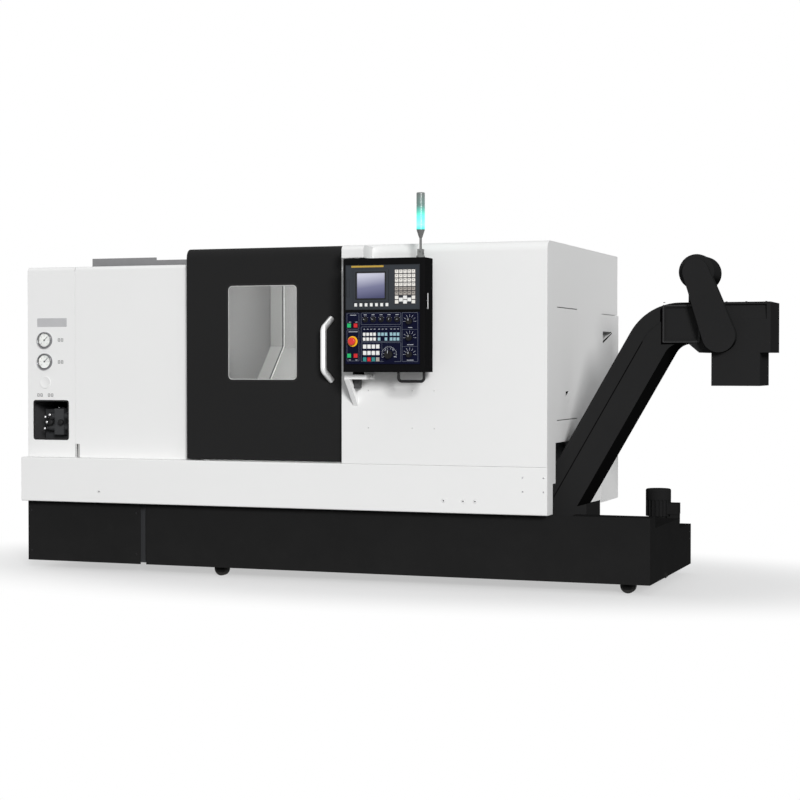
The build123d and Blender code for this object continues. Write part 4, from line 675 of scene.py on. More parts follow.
class LatheLook(bpy.types.PropertyGroup):
    """Colours and sizes that a user would change."""

    cover_colour: FloatVectorProperty(name="Cover colour", description="Paint of the sheet covers",
                                      subtype="COLOR", size=3, min=0, max=1, default=(0.78, 0.78, 0.775))
    door_colour: FloatVectorProperty(name="Door colour", description="Paint of the sliding door", subtype="COLOR",
                                     size=3, min=0, max=1, default=(0.0148, 0.0148, 0.0150))
    base_colour: FloatVectorProperty(name="Base colour", description="Paint of the tank, base and conveyor",
                                     subtype="COLOR", size=3, min=0, max=1, default=(0.0138, 0.0138, 0.0140))
    chamber_colour: FloatVectorProperty(name="Chamber colour", description="Paint of the sheets in the work chamber",
                                        subtype="COLOR", size=3, min=0, max=1, default=(0.141, 0.1395, 0.137))
    panel_colour: FloatVectorProperty(name="Panel colour", description="Film of the operator panel",
                                      subtype="COLOR", size=3, min=0, max=1, default=(0.0042, 0.0052, 0.0195))
    display_colour: FloatVectorProperty(name="Display colour", description="Moulding of the display unit",
                                        subtype="COLOR", size=3, min=0, max=1, default=(0.034, 0.0385, 0.0455))
    screw_radius: FloatProperty(name="Cover screw", description="Head radius of the screws in the covers",
                                subtype="DISTANCE", unit="LENGTH", min=0.002, max=0.012, default=0.006)
    mark_width: FloatProperty(name="Printed line", description="Width of the printed lines on the panel",
                              subtype="DISTANCE", unit="LENGTH", min=0.0003, max=0.003, default=0.0012)
    dial_marks: IntProperty(name="Dial marks", description="Scale marks round the override dial", min=5, max=41,
                            default=23)
    lamp_strength: FloatProperty(name="Key light", description="Strength of the distant front light", min=0, max=20,
                                 default=2.60)
    camera_lens: FloatProperty(name="Lens", description="Focal length of the camera in millimetres", min=20, max=200,
                               default=81.133)


class LATHE_OT_finishes(bpy.types.Operator):
    """Builds every finish and puts one on each CAD node"""

    bl_idname = "lathe.finishes"
    bl_label = "Finishes"

    def execute(self, context):
        look = context.scene.lathe_look
        build_shader_groups()
        coat("WhiteCoat", look.cover_colour, 0.5, 420.0, 0.10, specular=0.2, tone=0.018, edge=2.0)
        # painted light: the lower arm's white is a lighter copy of the cover paint, lifting the arm out of the
        # pendant's shade
        coat("ArmCoat", (0.88, 0.88, 0.875), 0.5, 420.0, 0.10, specular=0.2, tone=0.03, edge=2.0)
        coat("DoorCoat", look.door_colour, 0.7, 700.0, 0.16, specular=0.06, tone=0.10, edge=2.0, rub=0.10)
        coat("BaseCoat", look.base_colour, 0.8, 700.0, 0.16, specular=0.0, tone=0.12, dust=0.02, edge=1.5,
             rub=0.10)
        # the conveyor's undersides carry painted shade at 0.3 of its colour
        coat("ConveyorCoat", shade(look.base_colour, 1.42), 0.75, 650.0, 0.16, specular=0.0, tone=0.12, edge=1.5,
             rub=0.14, underside_shade=0.3)
        split_coat("PendantCoat", (0.0072, 0.0072, 0.0076), (0.22, 0.225, 0.22), 2, 1.722, 0.75, 0.0)
        coat("CastingPaint", (0.03, 0.031, 0.033), 0.55, 160.0, 0.5, specular=0.3, tone=0.12, edge=3.0)
        # painted light and shade: the wall's paint is kept dark for its shade, and the way plates take lighter copies
        # of it, 1.85 times beyond X=1108 on the fixed plate and 3.1 times on the moving covers, partly for their
        # lighter steel
        split_coat("ChamberSheet", look.chamber_colour, shade(look.chamber_colour, 1.85), 0, at(1108, 0, 0).x, 0.45, 0.3)
        coat("WaySheet", shade(look.chamber_colour, 3.1), 0.42, 300.0, 0.06, specular=0.4, tone=0.04, edge=1.0,
             cloud=4.0)
        coat("InsertGrey", (0.36, 0.36, 0.355), 0.55, 600.0, 0.05, specular=0.3, tone=0.05, edge=0.8)
        coat("StopGrey", (0.06, 0.06, 0.062), 0.55, 500.0, 0.10, specular=0.2, tone=0.1, edge=1.0)
        metal("TurnedSteel", (0.52, 0.52, 0.54), 0.3, (900.0, 16.0, 16.0))
        metal("BeltSteel", (0.25, 0.25, 0.26), 0.45, (60.0, 8.0, 400.0))
        metal("RailSteel", (0.24, 0.24, 0.245), 0.42, (6.0, 700.0, 700.0), metallic=0.85)
        metal("GripAluminium", (0.82, 0.82, 0.82), 0.36, (500.0, 500.0, 14.0), height=0.01, metallic=0.75)
        metal("PlateAluminium", (0.46, 0.46, 0.47), 0.4, (10.0, 900.0, 900.0), height=0.01)
        metal("ScrewZinc", (0.62, 0.62, 0.63), 0.33, (400.0, 400.0, 400.0), edge=0.3)
        metal("ScrewBlack", (0.03, 0.03, 0.032), 0.4, (400.0, 400.0, 400.0), edge=0.3)
        metal("BrightRing", (0.7, 0.7, 0.71), 0.22, (120.0, 120.0, 120.0), height=0.01, edge=0.4)
        metal("GaugeChrome", (0.24, 0.24, 0.25), 0.2, (120.0, 120.0, 120.0), height=0.01, edge=0.4)
        metal("Brass", (0.62, 0.42, 0.14), 0.32, (300.0, 300.0, 300.0), edge=0.4)
        metal("StripGold", (0.46, 0.30, 0.05), 0.42, (700.0, 10.0, 10.0), height=0.006, metallic=0.6)
        pane("SafetyGlass", (0.90, 0.915, 0.915), 0.02)
        pane("GaugeGlass", (0.97, 0.98, 0.98), 0.01)
        coat("BlackPlastic", (0.011, 0.011, 0.0115), 0.45, 900.0, 0.05, specular=0.14, tone=0.08, edge=1.0)
        coat("DisplayPlastic", look.display_colour, 0.55, 900.0, 0.05, specular=0.1, tone=0.05, edge=1.0)
        coat("NavyPanel", look.panel_colour, 0.5, 1200.0, 0.03, specular=0.04, tone=0.06, edge=0.6)
        coat("PoleGrey", (0.12, 0.123, 0.12), 0.30, 500.0, 0.03, specular=0.5, tone=0.06, edge=0.8)
        coat("DriveGrey", (0.3, 0.3, 0.29), 0.5, 500.0, 0.08, specular=0.4, tone=0.05)
        coat("WheelRubber", (0.012, 0.012, 0.012), 0.6, 500.0, 0.12, specular=0.08, tone=0.15, dust=0.1, dust_top=0.12)
        # painted shadow line and painted highlight strip for the edge of the way cover
        coat("WiperGrey", (0.06, 0.06, 0.059), 0.55, 900.0, 0.05, specular=0.2, tone=0.05, edge=0.6)
        coat("StripWhite", (0.60, 0.60, 0.595), 0.4, 900.0, 0.03, specular=0.4, tone=0.02, edge=0.4)
        # painted highlight of the window glass's edge
        coat("EdgePale", (0.44, 0.44, 0.435), 0.45, 900.0, 0.03, specular=0.3, tone=0.03, edge=0.4)
        coat("SealRubber", (0.008, 0.008, 0.008), 0.55, 900.0, 0.08, specular=0.2, tone=0.1, edge=0.8)
        coat("KeyWhite", (0.80, 0.80, 0.79), 0.45, 900.0, 0.03, specular=0.35, tone=0.02, edge=0.4)
        coat("KeyIvory", (0.80, 0.775, 0.73), 0.5, 900.0, 0.03, specular=0.3, tone=0.03, edge=0.4)
        coat("KeyTan", (0.36, 0.33, 0.30), 0.5, 900.0, 0.03, specular=0.3, tone=0.03, edge=0.4)
        coat("KeyPaleBlue", (0.30, 0.49, 0.55), 0.45, 900.0, 0.03, specular=0.3, tone=0.03, edge=0.4)
        coat("KeyTeal", (0.03, 0.22, 0.22), 0.45, 900.0, 0.03, specular=0.3, tone=0.04, edge=0.4)
        coat("KeyRed", (0.55, 0.015, 0.02), 0.4, 900.0, 0.03, specular=0.35, tone=0.04, edge=0.4)
        coat("KeyGreen", (0.01, 0.42, 0.13), 0.4, 900.0, 0.03, specular=0.35, tone=0.04, edge=0.4)
        coat("StopRed", (0.62, 0.012, 0.008), 0.28, 600.0, 0.02, specular=0.5, tone=0.04, edge=0.8, clear=0.3)
        coat("StopYellow", (0.85, 0.45, 0.01), 0.4, 600.0, 0.03, specular=0.4, tone=0.04, edge=0.5)
        coat("PrintWhite", (0.62, 0.65, 0.70), 0.5, 900.0, 0.01, specular=0.2, tone=0.03, edge=0.1)
        coat("PrintLine", (0.17, 0.19, 0.23), 0.5, 900.0, 0.01, specular=0.1, tone=0.03, edge=0.1)
        # painted highlight on the edges of the conveyor's inspection frame
        coat("EdgeGrey", (0.055, 0.055, 0.056), 0.6, 700.0, 0.03, specular=0.1, tone=0.1, edge=0.4)
        # near-black for painted shadow lines and shaded hollows
        coat("SeamBlack", (0.002, 0.002, 0.002), 0.8, 700.0, 0.01, specular=0.0, tone=0.05, edge=0.1)
        coat("PrintDark", (0.03, 0.03, 0.035), 0.5, 900.0, 0.01, specular=0.2, tone=0.03, edge=0.1)
        coat("DialFace", (0.78, 0.78, 0.76), 0.45, 500.0, 0.01, specular=0.3, tone=0.02, edge=0.2)
        coat("SocketShadow", (0.01, 0.01, 0.01), 0.6, 500.0, 0.01, specular=0.2, tone=0.05, edge=0.1)
        low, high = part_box("lamp_lens")
        lamp_glow("LampGlow", low[2], high[2])
        lit_screen("LitScreen", SCREEN[2] * MM, SCREEN[3] * MM, at(SCREEN[0], 0, 0).x, at(SCREEN[1], 0, 0).x)
        finish_of = {node: finish for finish, nodes in NODE_FINISH.items() for node in nodes.split()}
        for node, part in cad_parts.items():
            if not part.material_slots:
                part.data.materials.append(None)
            for slot in part.material_slots:
                slot.material = bpy.data.materials[finish_of[node]]
        return {"FINISHED"}


# ------------------------------------------------------------ control pendant

UNIT_X = 2070.0
FACE_Y = -206.0
SCREEN = (2133.0, 2288.0, 1514.0, 1645.0)
PRINT = 0.5


class LATHE_OT_display(bpy.types.Operator):
    """Adds the lit screen, the key pad, the soft keys and the trim of the display unit"""

    bl_idname = "lathe.display"
    bl_label = "Display unit"

    def execute(self, context):
        x0, x1, z0, z1 = SCREEN
        bm = bmesh.new()
        add_slab(bm, rounded_outline(x0 + 0.5, x1 - 0.5, z0 + 0.5, z1 - 0.5, 2), FACE_Y + 2.9, FACE_Y + 1.5)
        show_bmesh("screen_glass", bm, ("LitScreen",), "pendant")
        bm = bmesh.new()
        add_frame(bm, x0 - 7, x1 + 7, z0 - 7, z1 + 7, 3, 6.5, FACE_Y - 3.9, FACE_Y - 4.6)
        add_frame(bm, x0 - 20, x1 + 20, z0 - 20, z1 + 20, 4, 2.5, FACE_Y + 0.1, FACE_Y - 1.2)
        card = (2075.0, 2091.0, 1521.0, 1612.0)
        add_frame(bm, *card, 3, 1.2, FACE_Y + 0.1, FACE_Y - 0.8)
        add_frame(bm, 2071.5, 2474.5, 1456.5, 1684.5, 3, 1.2, FACE_Y + 0.1, FACE_Y - 0.6)
        show_bmesh("display_trim", bm, ("SealRubber",), "pendant", bevel=0.3)
        bm = bmesh.new()
        add_slab(bm, rounded_outline(card[0] + 2, card[1] - 2, card[2] + 2, card[3] - 2, 2), FACE_Y + 0.1, FACE_Y - 1.4)
        show_bmesh("card_door", bm, ("DisplayPlastic",), "pendant", bevel=0.5)
        bm = bmesh.new()
        add_slab(bm, rounded_outline(2102, 2280, 1673.5, 1683, 1.5), FACE_Y + 0.1, FACE_Y - 1.0)
        show_bmesh("gold_strip", bm, ("StripGold",), "pendant", bevel=0.3)
        bm = bmesh.new()
        add_slab(bm, rounded_outline(2338, 2458, 1480, 1664, 3), FACE_Y + 0.1, FACE_Y - 0.7)
        show_bmesh("key_mat", bm, ("PrintDark",), "pendant", bevel=0.3)
        self.pad()
        keys("soft_keys", at(UNIT_X + 57, FACE_Y, 1480.6), 7, 1, (28.7, 0), (15.8, 18.8), 3.4, "KeyWhite")
        return {"FINISHED"}

    def pad(self):
        step_x = 114 / 5
        step_z = 178 / 8
        first = at(UNIT_X + 271 + step_x / 2, FACE_Y, 1455 + 28 + step_z / 2)
        size = (step_x - 3.4, step_z - 3.4)
        up = Vector((0, 0, step_z * MM))
        across = Vector((step_x * MM, 0, 0))
        keys("pad_upper_keys", first + 4 * up, 5, 4, (step_x, step_z), size, 3.4, "KeyIvory", taper=0.9)
        keys("pad_middle_keys", first + 2 * up, 5, 2, (step_x, step_z), size, 3.4, "KeyTan", taper=0.9)
        keys("pad_outer_keys", first, 2, 2, (4 * step_x, step_z), size, 3.4, "KeyIvory", taper=0.9)
        keys("pad_side_arrows", first + across + up / 2, 2, 1, (2 * step_x, 0), (size[0] + 2, size[1] + 2), 3.4,
             "KeyWhite", taper=0.9)
        keys("pad_up_down", first + 2 * across, 1, 2, (0, step_z), (size[0] + 2, size[1] + 1), 3.4, "KeyWhite",
             taper=0.9)
        legends = []
        for row, width in ((7, 7.0), (6, 7.0), (5, 7.0), (4, 7.0), (3, 10.0), (2, 10.0)):
            spot = first + row * up + Vector((0, -3.6 * MM, 2.5 * MM))
            mesh = run_tree("legend", tree_named("KeyGrid", key_tree), {
                "Columns": 5, "Rows": 1, "Pitch X": step_x * MM, "Pitch Z": 0.0, "Width": width * MM,
                "Tall": 3.0 * MM, "Proud": 0.2 * MM, "Taper": 1.0, "Finish": bpy.data.materials["PrintDark"]})
            mesh.transform(Matrix.Translation(spot))
            legends.append(mesh)
        show("pad_legends", join_meshes("pad_legends", legends, "pendant", "black_plastic"), ("PrintDark",),
             "pendant")


class LATHE_OT_operator_panel(bpy.types.Operator):
    """Adds key caps, buttons, selectors and printed lines to the operator panel"""

    bl_idname = "lathe.operator_panel"
    bl_label = "Operator panel"

    def execute(self, context):
        look = context.scene.lathe_look
        width = look.mark_width / MM
        bm = bmesh.new()
        for box in ((2077, 2145, 1355, 1439), (2077, 2145, 1190, 1351), (2156, 2375, 1378, 1439),
                    (2156, 2375, 1291, 1368), (2156, 2375, 1187, 1286), (2381, 2468, 1187, 1439)):
            add_frame(bm, *box, 5, width, FACE_Y + 0.1, FACE_Y - PRINT)
        for start, end in (((2381, 1352), (2468, 1352)), ((2381, 1265), (2468, 1265)), ((2271, 1187), (2271, 1286))):
            add_bar(bm, start, end, width * 0.7, FACE_Y + 0.1, FACE_Y - PRINT)
        show_bmesh("panel_lines", bm, ("PrintLine",), "pendant")
        bm = bmesh.new()
        for x, z, length in self.legends():
            add_bar(bm, (x - length / 2, z), (x + length / 2, z), 2.2, FACE_Y + 0.1, FACE_Y - PRINT)
        show_bmesh("panel_legends", bm, ("PrintWhite",), "pendant")
        size = (15, 18)
        keys("white_keys", at(UNIT_X + 104, FACE_Y, 1303.5), 4, 2, (19, 25), size, 3.6, "KeyWhite")
        keys("blue_keys", at(UNIT_X + 252, FACE_Y, 1303.5), 3, 2, (19, 25), size, 3.6, "KeyPaleBlue")
        keys("jog_upper_keys", at(UNIT_X + 186, FACE_Y, 1328.5), 3, 1, (19, 0), size, 3.6, "KeyPaleBlue")
        keys("jog_lower_keys", at(UNIT_X + 186, FACE_Y, 1303.5), 2, 1, (38, 0), size, 3.6, "KeyPaleBlue")
        row = at(UNIT_X + 106.5, FACE_Y, 1199)
        size = (20, 23)
        keys("row_white_keys", row + Vector((0, 0, 33 * MM)), 4, 2, (24, 33), size, 3.6, "KeyWhite")
        keys("row_teal_keys", row, 2, 1, (48, 0), size, 3.6, "KeyTeal")
        keys("row_red_key", row + Vector((24 * MM, 0, 0)), 1, 1, (24, 0), size, 3.6, "KeyRed")
        keys("row_grey_key", row + Vector((72 * MM, 0, 0)), 1, 1, (24, 0), size, 3.6, "KeyTan")
        for name, x, finish in (("start_buttons", 22, "KeyGreen"), ("hold_buttons", 58, "KeyRed")):
            keys(name, at(UNIT_X + x, FACE_Y - 6.5, 1175 + 43), 1, 2, (0, 156), (21.6, 21.6), 2.2, finish, taper=0.92)
        bm = bmesh.new()
        for x in (22, 58):
            for z in (43, 199):
                add_frame(bm, UNIT_X + x - 13, UNIT_X + x + 13, 1175 + z - 13, 1175 + z + 13, 3, 2.2, FACE_Y + 0.1,
                          FACE_Y - 5.5)
        show_bmesh("button_collars", bm, ("BlackPlastic",), "pendant", bevel=0.6)
        self.stop_ring()
        self.selectors()
        self.knobs()
        self.dial(look.dial_marks)
        return {"FINISHED"}

    def legends(self):
        """Short plain bars where a maker prints words."""
        bars = [(2112, 1428, 34), (2112, 1342, 50), (2094, 1392, 12), (2130, 1392, 12), (2426, 1362, 22),
                (2426, 1274, 34), (2426, 1195, 36), (2311, 1195, 50), (2094, 1196, 12), (2130, 1196, 12)]
        bars += [(2179 + 43.8 * i, 1429, 16) for i in range(5)]
        bars += [(2174 + 19 * i, 1355, 9) for i in range(4)] + [(2256 + 19 * i, 1355, 9) for i in range(3)]
        bars += [(2322 + 19 * i, 1355, 9) for i in range(3)]
        return bars

    def stop_ring(self):
        bm = bmesh.new()
        x = UNIT_X + 40
        z = 1175 + 117
        add_slab(bm, round_outline(x, z, 27.5), FACE_Y - 2.9, FACE_Y - 3.8, hole=round_outline(x, z, 13))
        show_bmesh("stop_collar", bm, ("StopYellow",), "pendant", bevel=0.4)

    def selectors(self):
        bm = bmesh.new()
        pointers = bmesh.new()
        scales = []
        for i in range(5):
            x = UNIT_X + 109 + 43.8 * i
            z = 1175 + 229
            add_turned(bm, ((10.6, 0), (10.6, 9.5), (9.0, 12.5), (8.0, 13), (0, 13)), at(x, FACE_Y, z), (0, -1, 0))
            add_turned(bm, ((14.5, -0.1), (14.5, 1.2), (13.5, 1.6), (10.6, 1.6)), at(x, FACE_Y, z), (0, -1, 0))
            add_bar(pointers, (x, z), (x + 6.5 * math.sin(0.6 * (i - 2)), z + 6.5 * math.cos(0.6 * (i - 2))), 1.8,
                    FACE_Y - 12.8, FACE_Y - 13.5)
            scales.append(marks(at(x, FACE_Y - 0.2, z), 4, 17.5, 40, 100, 2.6, 1.1, "PrintWhite"))
        show_bmesh("selector_caps", bm, ("BlackPlastic",), "pendant")
        show_bmesh("selector_pointers", pointers, ("PrintWhite",), "pendant")
        show("selector_scales", join_meshes("selector_scales", scales, "pendant", "navy_panel"), ("PrintWhite",),
             "pendant")

    def knobs(self):
        scales = []
        for i, z in enumerate((49.0, 135.0, 219.0)):
            x = UNIT_X + 353
            z += 1175
            bm = bmesh.new()
            front = Vector(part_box("rotary_knob_%d" % (i + 1))[0]).y
            depth = (front - SKIRT_LOW.y) / MM
            add_bar(bm, (x, z + 3), (x, z + 14.4), 2.2, depth + 0.1, depth - 0.6)
            show_bmesh("knob_pointer_%d" % (i + 1), bm, ("PrintWhite",), "knob_%d" % (i + 1))
            scales.append(marks(at(x, FACE_Y - 0.2, z), 7, 24, 0, 180, 5.0, 1.3, "PrintWhite"))
            scales.append(marks(at(x, FACE_Y - 0.2, z), 7, 32, 0, 180, 7.0, 1.3, "PrintWhite"))
        show("knob_scales", join_meshes("knob_scales", scales, "pendant", "navy_panel"), ("PrintWhite",), "pendant")

    def dial(self, count):
        x = UNIT_X + 241
        z = 1175 + 49
        plate = FACE_Y - 1.5
        scales = [marks(at(x, plate - 0.2, z), count, 40, -20, 220, 6.0, 1.2, "PrintWhite"),
                  marks(at(x, plate - 0.2, z), (count - 1) // 3 + 1, 30, -20, 220, 5.0, 1.6, "PrintWhite")]
        for i, words in enumerate(("150", "100", "50", "0")):
            angle = math.radians(-20 + 220 * i / 3)
            spot = at(x + 33.5 * math.cos(angle), plate - 0.3, z + 33.5 * math.sin(angle))
            scales.append(text_mesh(words, 7.0, spot, 0.15))
        show("dial_scale", join_meshes("dial_scale", scales, "pendant", "navy_panel"), ("PrintWhite",), "pendant")
        bm = bmesh.new()
        depth = (Vector(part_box("override_dial")[0]).y - SKIRT_LOW.y) / MM
        add_bar(bm, (x, z + 6), (x, z + 20.5), 2.4, depth + 0.1, depth - 0.03)
        show_bmesh("dial_pointer", bm, ("PrintWhite",), "dial")


# --------------------------------------------------------------- front covers


class LATHE_OT_gauges(bpy.types.Operator):
    """Adds faces, figures, rims and glass to the two pressure gauges, with a black band of painted shade inside each
    rim
    """

    bl_idname = "lathe.gauges"
    bl_label = "Gauges"

    def execute(self, context):
        x = 113.0
        face = 76 - 15 + 7
        scales = []
        faces = bmesh.new()
        rims = bmesh.new()
        glass = bmesh.new()
        bands = bmesh.new()
        for z in (1311.0, 1189.0):
            add_slab(faces, round_outline(x, z, 39.5), face + 0.1, face - 0.7)
            add_turned(rims, ((46.6, -0.2), (46.6, 12), (45.5, 15.4), (43, 16.4), (40.5, 15.4), (39.6, 12)),
                       at(x, 76, z), (0, -1, 0), steps=48)
            add_turned(glass, ((39.4, 0), (39.4, 1.0), (20, 1.8), (0, 2.0)), at(x, face - 5.2, z), (0, -1, 0), steps=48)
            # a black ring inside the rim, painted shade of the rim's dark inner side
            add_slab(bands, round_outline(x, z, 39.9), face - 0.6, face - 4.0, hole=round_outline(x, z, 37.2))
            scales.append(marks(at(x, face - 0.8, z), 31, 35.5, -45, 270, 3.0, 0.8, "PrintDark"))
            scales.append(marks(at(x, face - 0.8, z), 7, 34.0, -45, 270, 6.0, 1.4, "PrintDark"))
            for step, words in enumerate(("6", "5", "4", "3", "2", "1", "0")):
                angle = math.radians(-45 + 45 * step)
                spot = at(x + 25 * math.cos(angle), face - 0.9, z + 25 * math.sin(angle))
                scales.append(text_mesh(words, 8.5, spot, 0.1))
        show_bmesh("gauge_faces", faces, ("DialFace",), "machine")
        show_bmesh("gauge_rims", rims, ("GaugeChrome",), "machine")
        show_bmesh("gauge_shade_bands", bands, ("SealRubber",), "machine")
        show_bmesh("gauge_panes", glass, ("GaugeGlass",), "machine")
        show("gauge_scales", join_meshes("gauge_scales", scales, "machine", "black_plastic"), ("PrintDark",), "machine")
        return {"FINISHED"}


class LATHE_OT_plates(bpy.types.Operator):
    """Adds bare plates, the blank plug's rim and the pendant's side strip"""

    bl_idname = "lathe.plates"
    bl_label = "Plates"

    def execute(self, context):
        bm = bmesh.new()
        add_slab(bm, rounded_outline(62, 254, 1387, 1436, 3), 76.1, 74.8)
        show_bmesh("bare_nameplate", bm, ("PlateAluminium",), "machine", bevel=0.4)
        screws("nameplate_rivets", [(67, 74.9, 1392), (249, 74.9, 1392), (67, 74.9, 1431), (249, 74.9, 1431)], 2.6, 1.2,
               "ScrewZinc", "machine")
        bm = bmesh.new()
        for x, z in ((213, 1312), (213, 1187), (78, 998), (147, 998)):
            for side in (-10, 10):
                add_frame(bm, x + side - 7, x + side + 7, z - 9, z + 9, 2, 2.4, 76.1, 75.6)
                add_bar(bm, (x + side - 5, z), (x + side + 5, z), 2.0, 76.1, 75.6)
        show_bmesh("blank_legends", bm, ("StopGrey",), "machine")
        bm = bmesh.new()
        add_turned(bm, ((34.5, 0), (34.5, 2.6), (33, 3.6), (31.5, 3.0), (0, 3.0)), at(113, 76, 1070), (0, -1, 0), steps=48)
        show_bmesh("blank_plug", bm, ("WhiteCoat",), "machine")
        bm = bmesh.new()
        add_slab(bm, rounded_outline(-155, -144, 1458, 1540, 3), 2500.9, 2503.0, place=side_place)
        show_bmesh("pendant_side_strip", bm, ("BrightRing",), "pendant", bevel=0.6)
        return {"FINISHED"}


class LATHE_OT_valves(bpy.types.Operator):
    """Adds fittings and hand knobs to the hydraulic unit behind the valve window"""

    bl_idname = "lathe.valves"
    bl_label = "Valves"

    def execute(self, context):
        low, high = (Vector(corner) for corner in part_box("hydraulic_unit"))
        front = (low.y - SKIRT_LOW.y) / MM
        bm = bmesh.new()
        add_slab(bm, rounded_outline(35, 266, 743, 970, 15), 76.1, 74.0, hole=rounded_outline(43, 258, 751, 962, 10))
        show_bmesh("valve_window_seal", bm, ("SealRubber",), "machine", bevel=0.8)
        # liners close the compartment in front of the bar port; the back one is near-black, painted shade deep in the
        # compartment
        bm = bmesh.new()
        add_slab(bm, [(8, 652), (39.5, 652), (39.5, 922), (300, 922), (300, 1010), (8, 1010)], 346.5, 345)
        show_bmesh("valve_back_liner", bm, ("SeamBlack",), "machine")
        bm = bmesh.new()
        add_slab(bm, rounded_outline(82, 345, 652, 1010, 4), 8, 9.5, place=side_place)
        show_bmesh("valve_side_liner", bm, ("StopGrey",), "machine")
        fittings = bmesh.new()
        for x, z in ((78, 806), (92, 842), (82, 872), (112, 884)):
            add_turned(fittings, ((8, 0), (8, 40), (5, 42), (5, 60), (9, 61), (9, 74), (6, 76), (0, 76)),
                       at(x, front + 58.5, z), (0, -1, 0), steps=6)
        for x, z in ((118, 788), (205, 770), (236, 768), (196, 930)):
            add_turned(fittings, ((5, 0), (5, 5), (3.5, 6), (0, 6)), at(x, front + 58, z), (0, -1, 0), steps=12)
        show_bmesh("valve_fittings", fittings, ("ScrewZinc",), "machine")
        knobs = bmesh.new()
        for i in range(2):
            add_turned(knobs, ((5, 0), (5, 8), (15, 9), (17, 12), (17, 24), (14, 27), (0, 27)),
                       at(120 + 66 * i, front + 1, 842), (0, -1, 0), steps=20)
        show_bmesh("valve_knobs", knobs, ("BlackPlastic",), "machine")
        return {"FINISHED"}


class LATHE_OT_door_trim(bpy.types.Operator):
    """Adds the window's seal, a pale ring painted as the glass edge's highlight, and a dark shadow line with a pale
    highlight strip at the edge of the way cover behind it
    """

    bl_idname = "lathe.door_trim"
    bl_label = "Door trim"

    def execute(self, context):
        bm = bmesh.new()
        outer = rounded_outline(1285 - 8, 1695 + 8, 1088 - 8, 1603 + 8, 32)
        inner = rounded_outline(1285 + 2, 1695 - 2, 1088 + 2, 1603 - 2, 23)
        add_slab(bm, outer, 30.1, 28.4, hole=inner)
        show_bmesh("window_seal", bm, ("SealRubber",), "door", bevel=0.6)
        # a pale ring just inside the seal, painted highlight of the glass's edge
        bm = bmesh.new()
        outer = rounded_outline(1285 + 2.2, 1695 - 2.2, 1088 + 2.2, 1603 - 2.2, 22.8)
        inner = rounded_outline(1285 + 6, 1695 - 6, 1088 + 6, 1603 - 6, 19)
        add_slab(bm, outer, 30.6, 29.6, hole=inner)
        show_bmesh("glass_edge_highlight", bm, ("EdgePale",), "door")
        # a dark strip painted as the shadow line and a pale strip painted as the highlight of the folded edge, along
        # the fixed way cover beside the wall, bent as the cover is
        bm = bmesh.new()
        add_slab(bm, [(997, 1720), (995, 1720), (995, 1281.9), (591.7, 877.3), (593.1, 875.9), (996.1, 1278.9),
                      (997, 1281.1)], 1184.5, 1192.9, place=side_place)
        show_bmesh("cover_shadow_strip", bm, ("WiperGrey",), "machine")
        bm = bmesh.new()
        add_slab(bm, [(999.9, 1720), (994.6, 1720), (994.6, 1281.9), (591.4, 877.3), (595.1, 873.8), (998.2, 1276.9),
                      (999.9, 1281.0)], 1193.2, 1197.4, place=side_place)
        show_bmesh("cover_edge_highlight", bm, ("StripWhite",), "machine")
        return {"FINISHED"}


class LATHE_OT_end_trim(bpy.types.Operator):
    """Adds the seam insert, the roof cap, the pendant's stop, the head's recess and the tank's plug"""

    bl_idname = "lathe.end_trim"
    bl_label = "End trim"

    def execute(self, context):
        bm = bmesh.new()
        add_slab(bm, [(316, 647), (333.5, 647), (333.5, 721.5), (320, 721.5)], 84, 80)
        show_bmesh("seam_insert", bm, ("InsertGrey",), "machine", bevel=0.6)
        bm = bmesh.new()
        left = (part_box("left_end_cover")[1][0] - SKIRT_LOW.x) / MM
        right = (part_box("headstock_cover")[0][0] - SKIRT_LOW.x) / MM
        add_slab(bm, [(left + 0.1, 724), (right - 0.1, 724), (right - 0.1, 1700), (left + 0.1, 1700)], 79, 77)
        show_bmesh("seam_backing", bm, ("WhiteCoat",), "machine")
        bm = bmesh.new()
        roof = (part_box("right_cover")[1][2]) / MM
        add_turned(bm, ((14, -0.2), (14, 8), (11, 11), (0, 11)), at(2066, 264, roof), (0, 0, 1))
        show_bmesh("roof_cap", bm, ("WhiteCoat",), "machine")
        bm = bmesh.new()
        plate = 1095
        add_slab(bm, rounded_outline(2043, 2088, plate - 48, plate, 4), -20, -60)
        show_bmesh("pendant_stop", bm, ("StopGrey",), "machine", bevel=1.0)
        bm = bmesh.new()
        add_slab(bm, [(266.2, 1400), (267.4, 1400), (279, 1481), (277.8, 1481)], 3893, 4167, place=side_place)
        show_bmesh("head_recess", bm, ("ConveyorCoat",), "machine")
        bm = bmesh.new()
        low, high = (Vector(corner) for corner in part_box("coolant_pump"))
        x, y, z = (high.x - SKIRT_LOW.x) / MM - 116, ((low.y + high.y) / 2 - SKIRT_LOW.y) / MM, low.z / MM
        outline = ((54, 12.3), (115, 12.3), (115, 61.8), (71, 61.8), (71, 49.5), (54, 49.5))
        add_slab(bm, [(x + dx, z + dz) for dx, dz in outline], y + 34, y - 34)
        show_bmesh("terminal_foot", bm, ("BaseCoat",), "machine", bevel=0.8)
        bm = bmesh.new()
        end = (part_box("coolant_tank")[1][0] - SKIRT_LOW.x) / MM
        add_turned(bm, ((17, -0.2), (17, 5), (15, 7), (9, 7), (9, 14), (0, 14)), at(end, 448, 68), (1, 0, 0), steps=20)
        show_bmesh("tank_plug", bm, ("BaseCoat",), "machine")
        return {"FINISHED"}


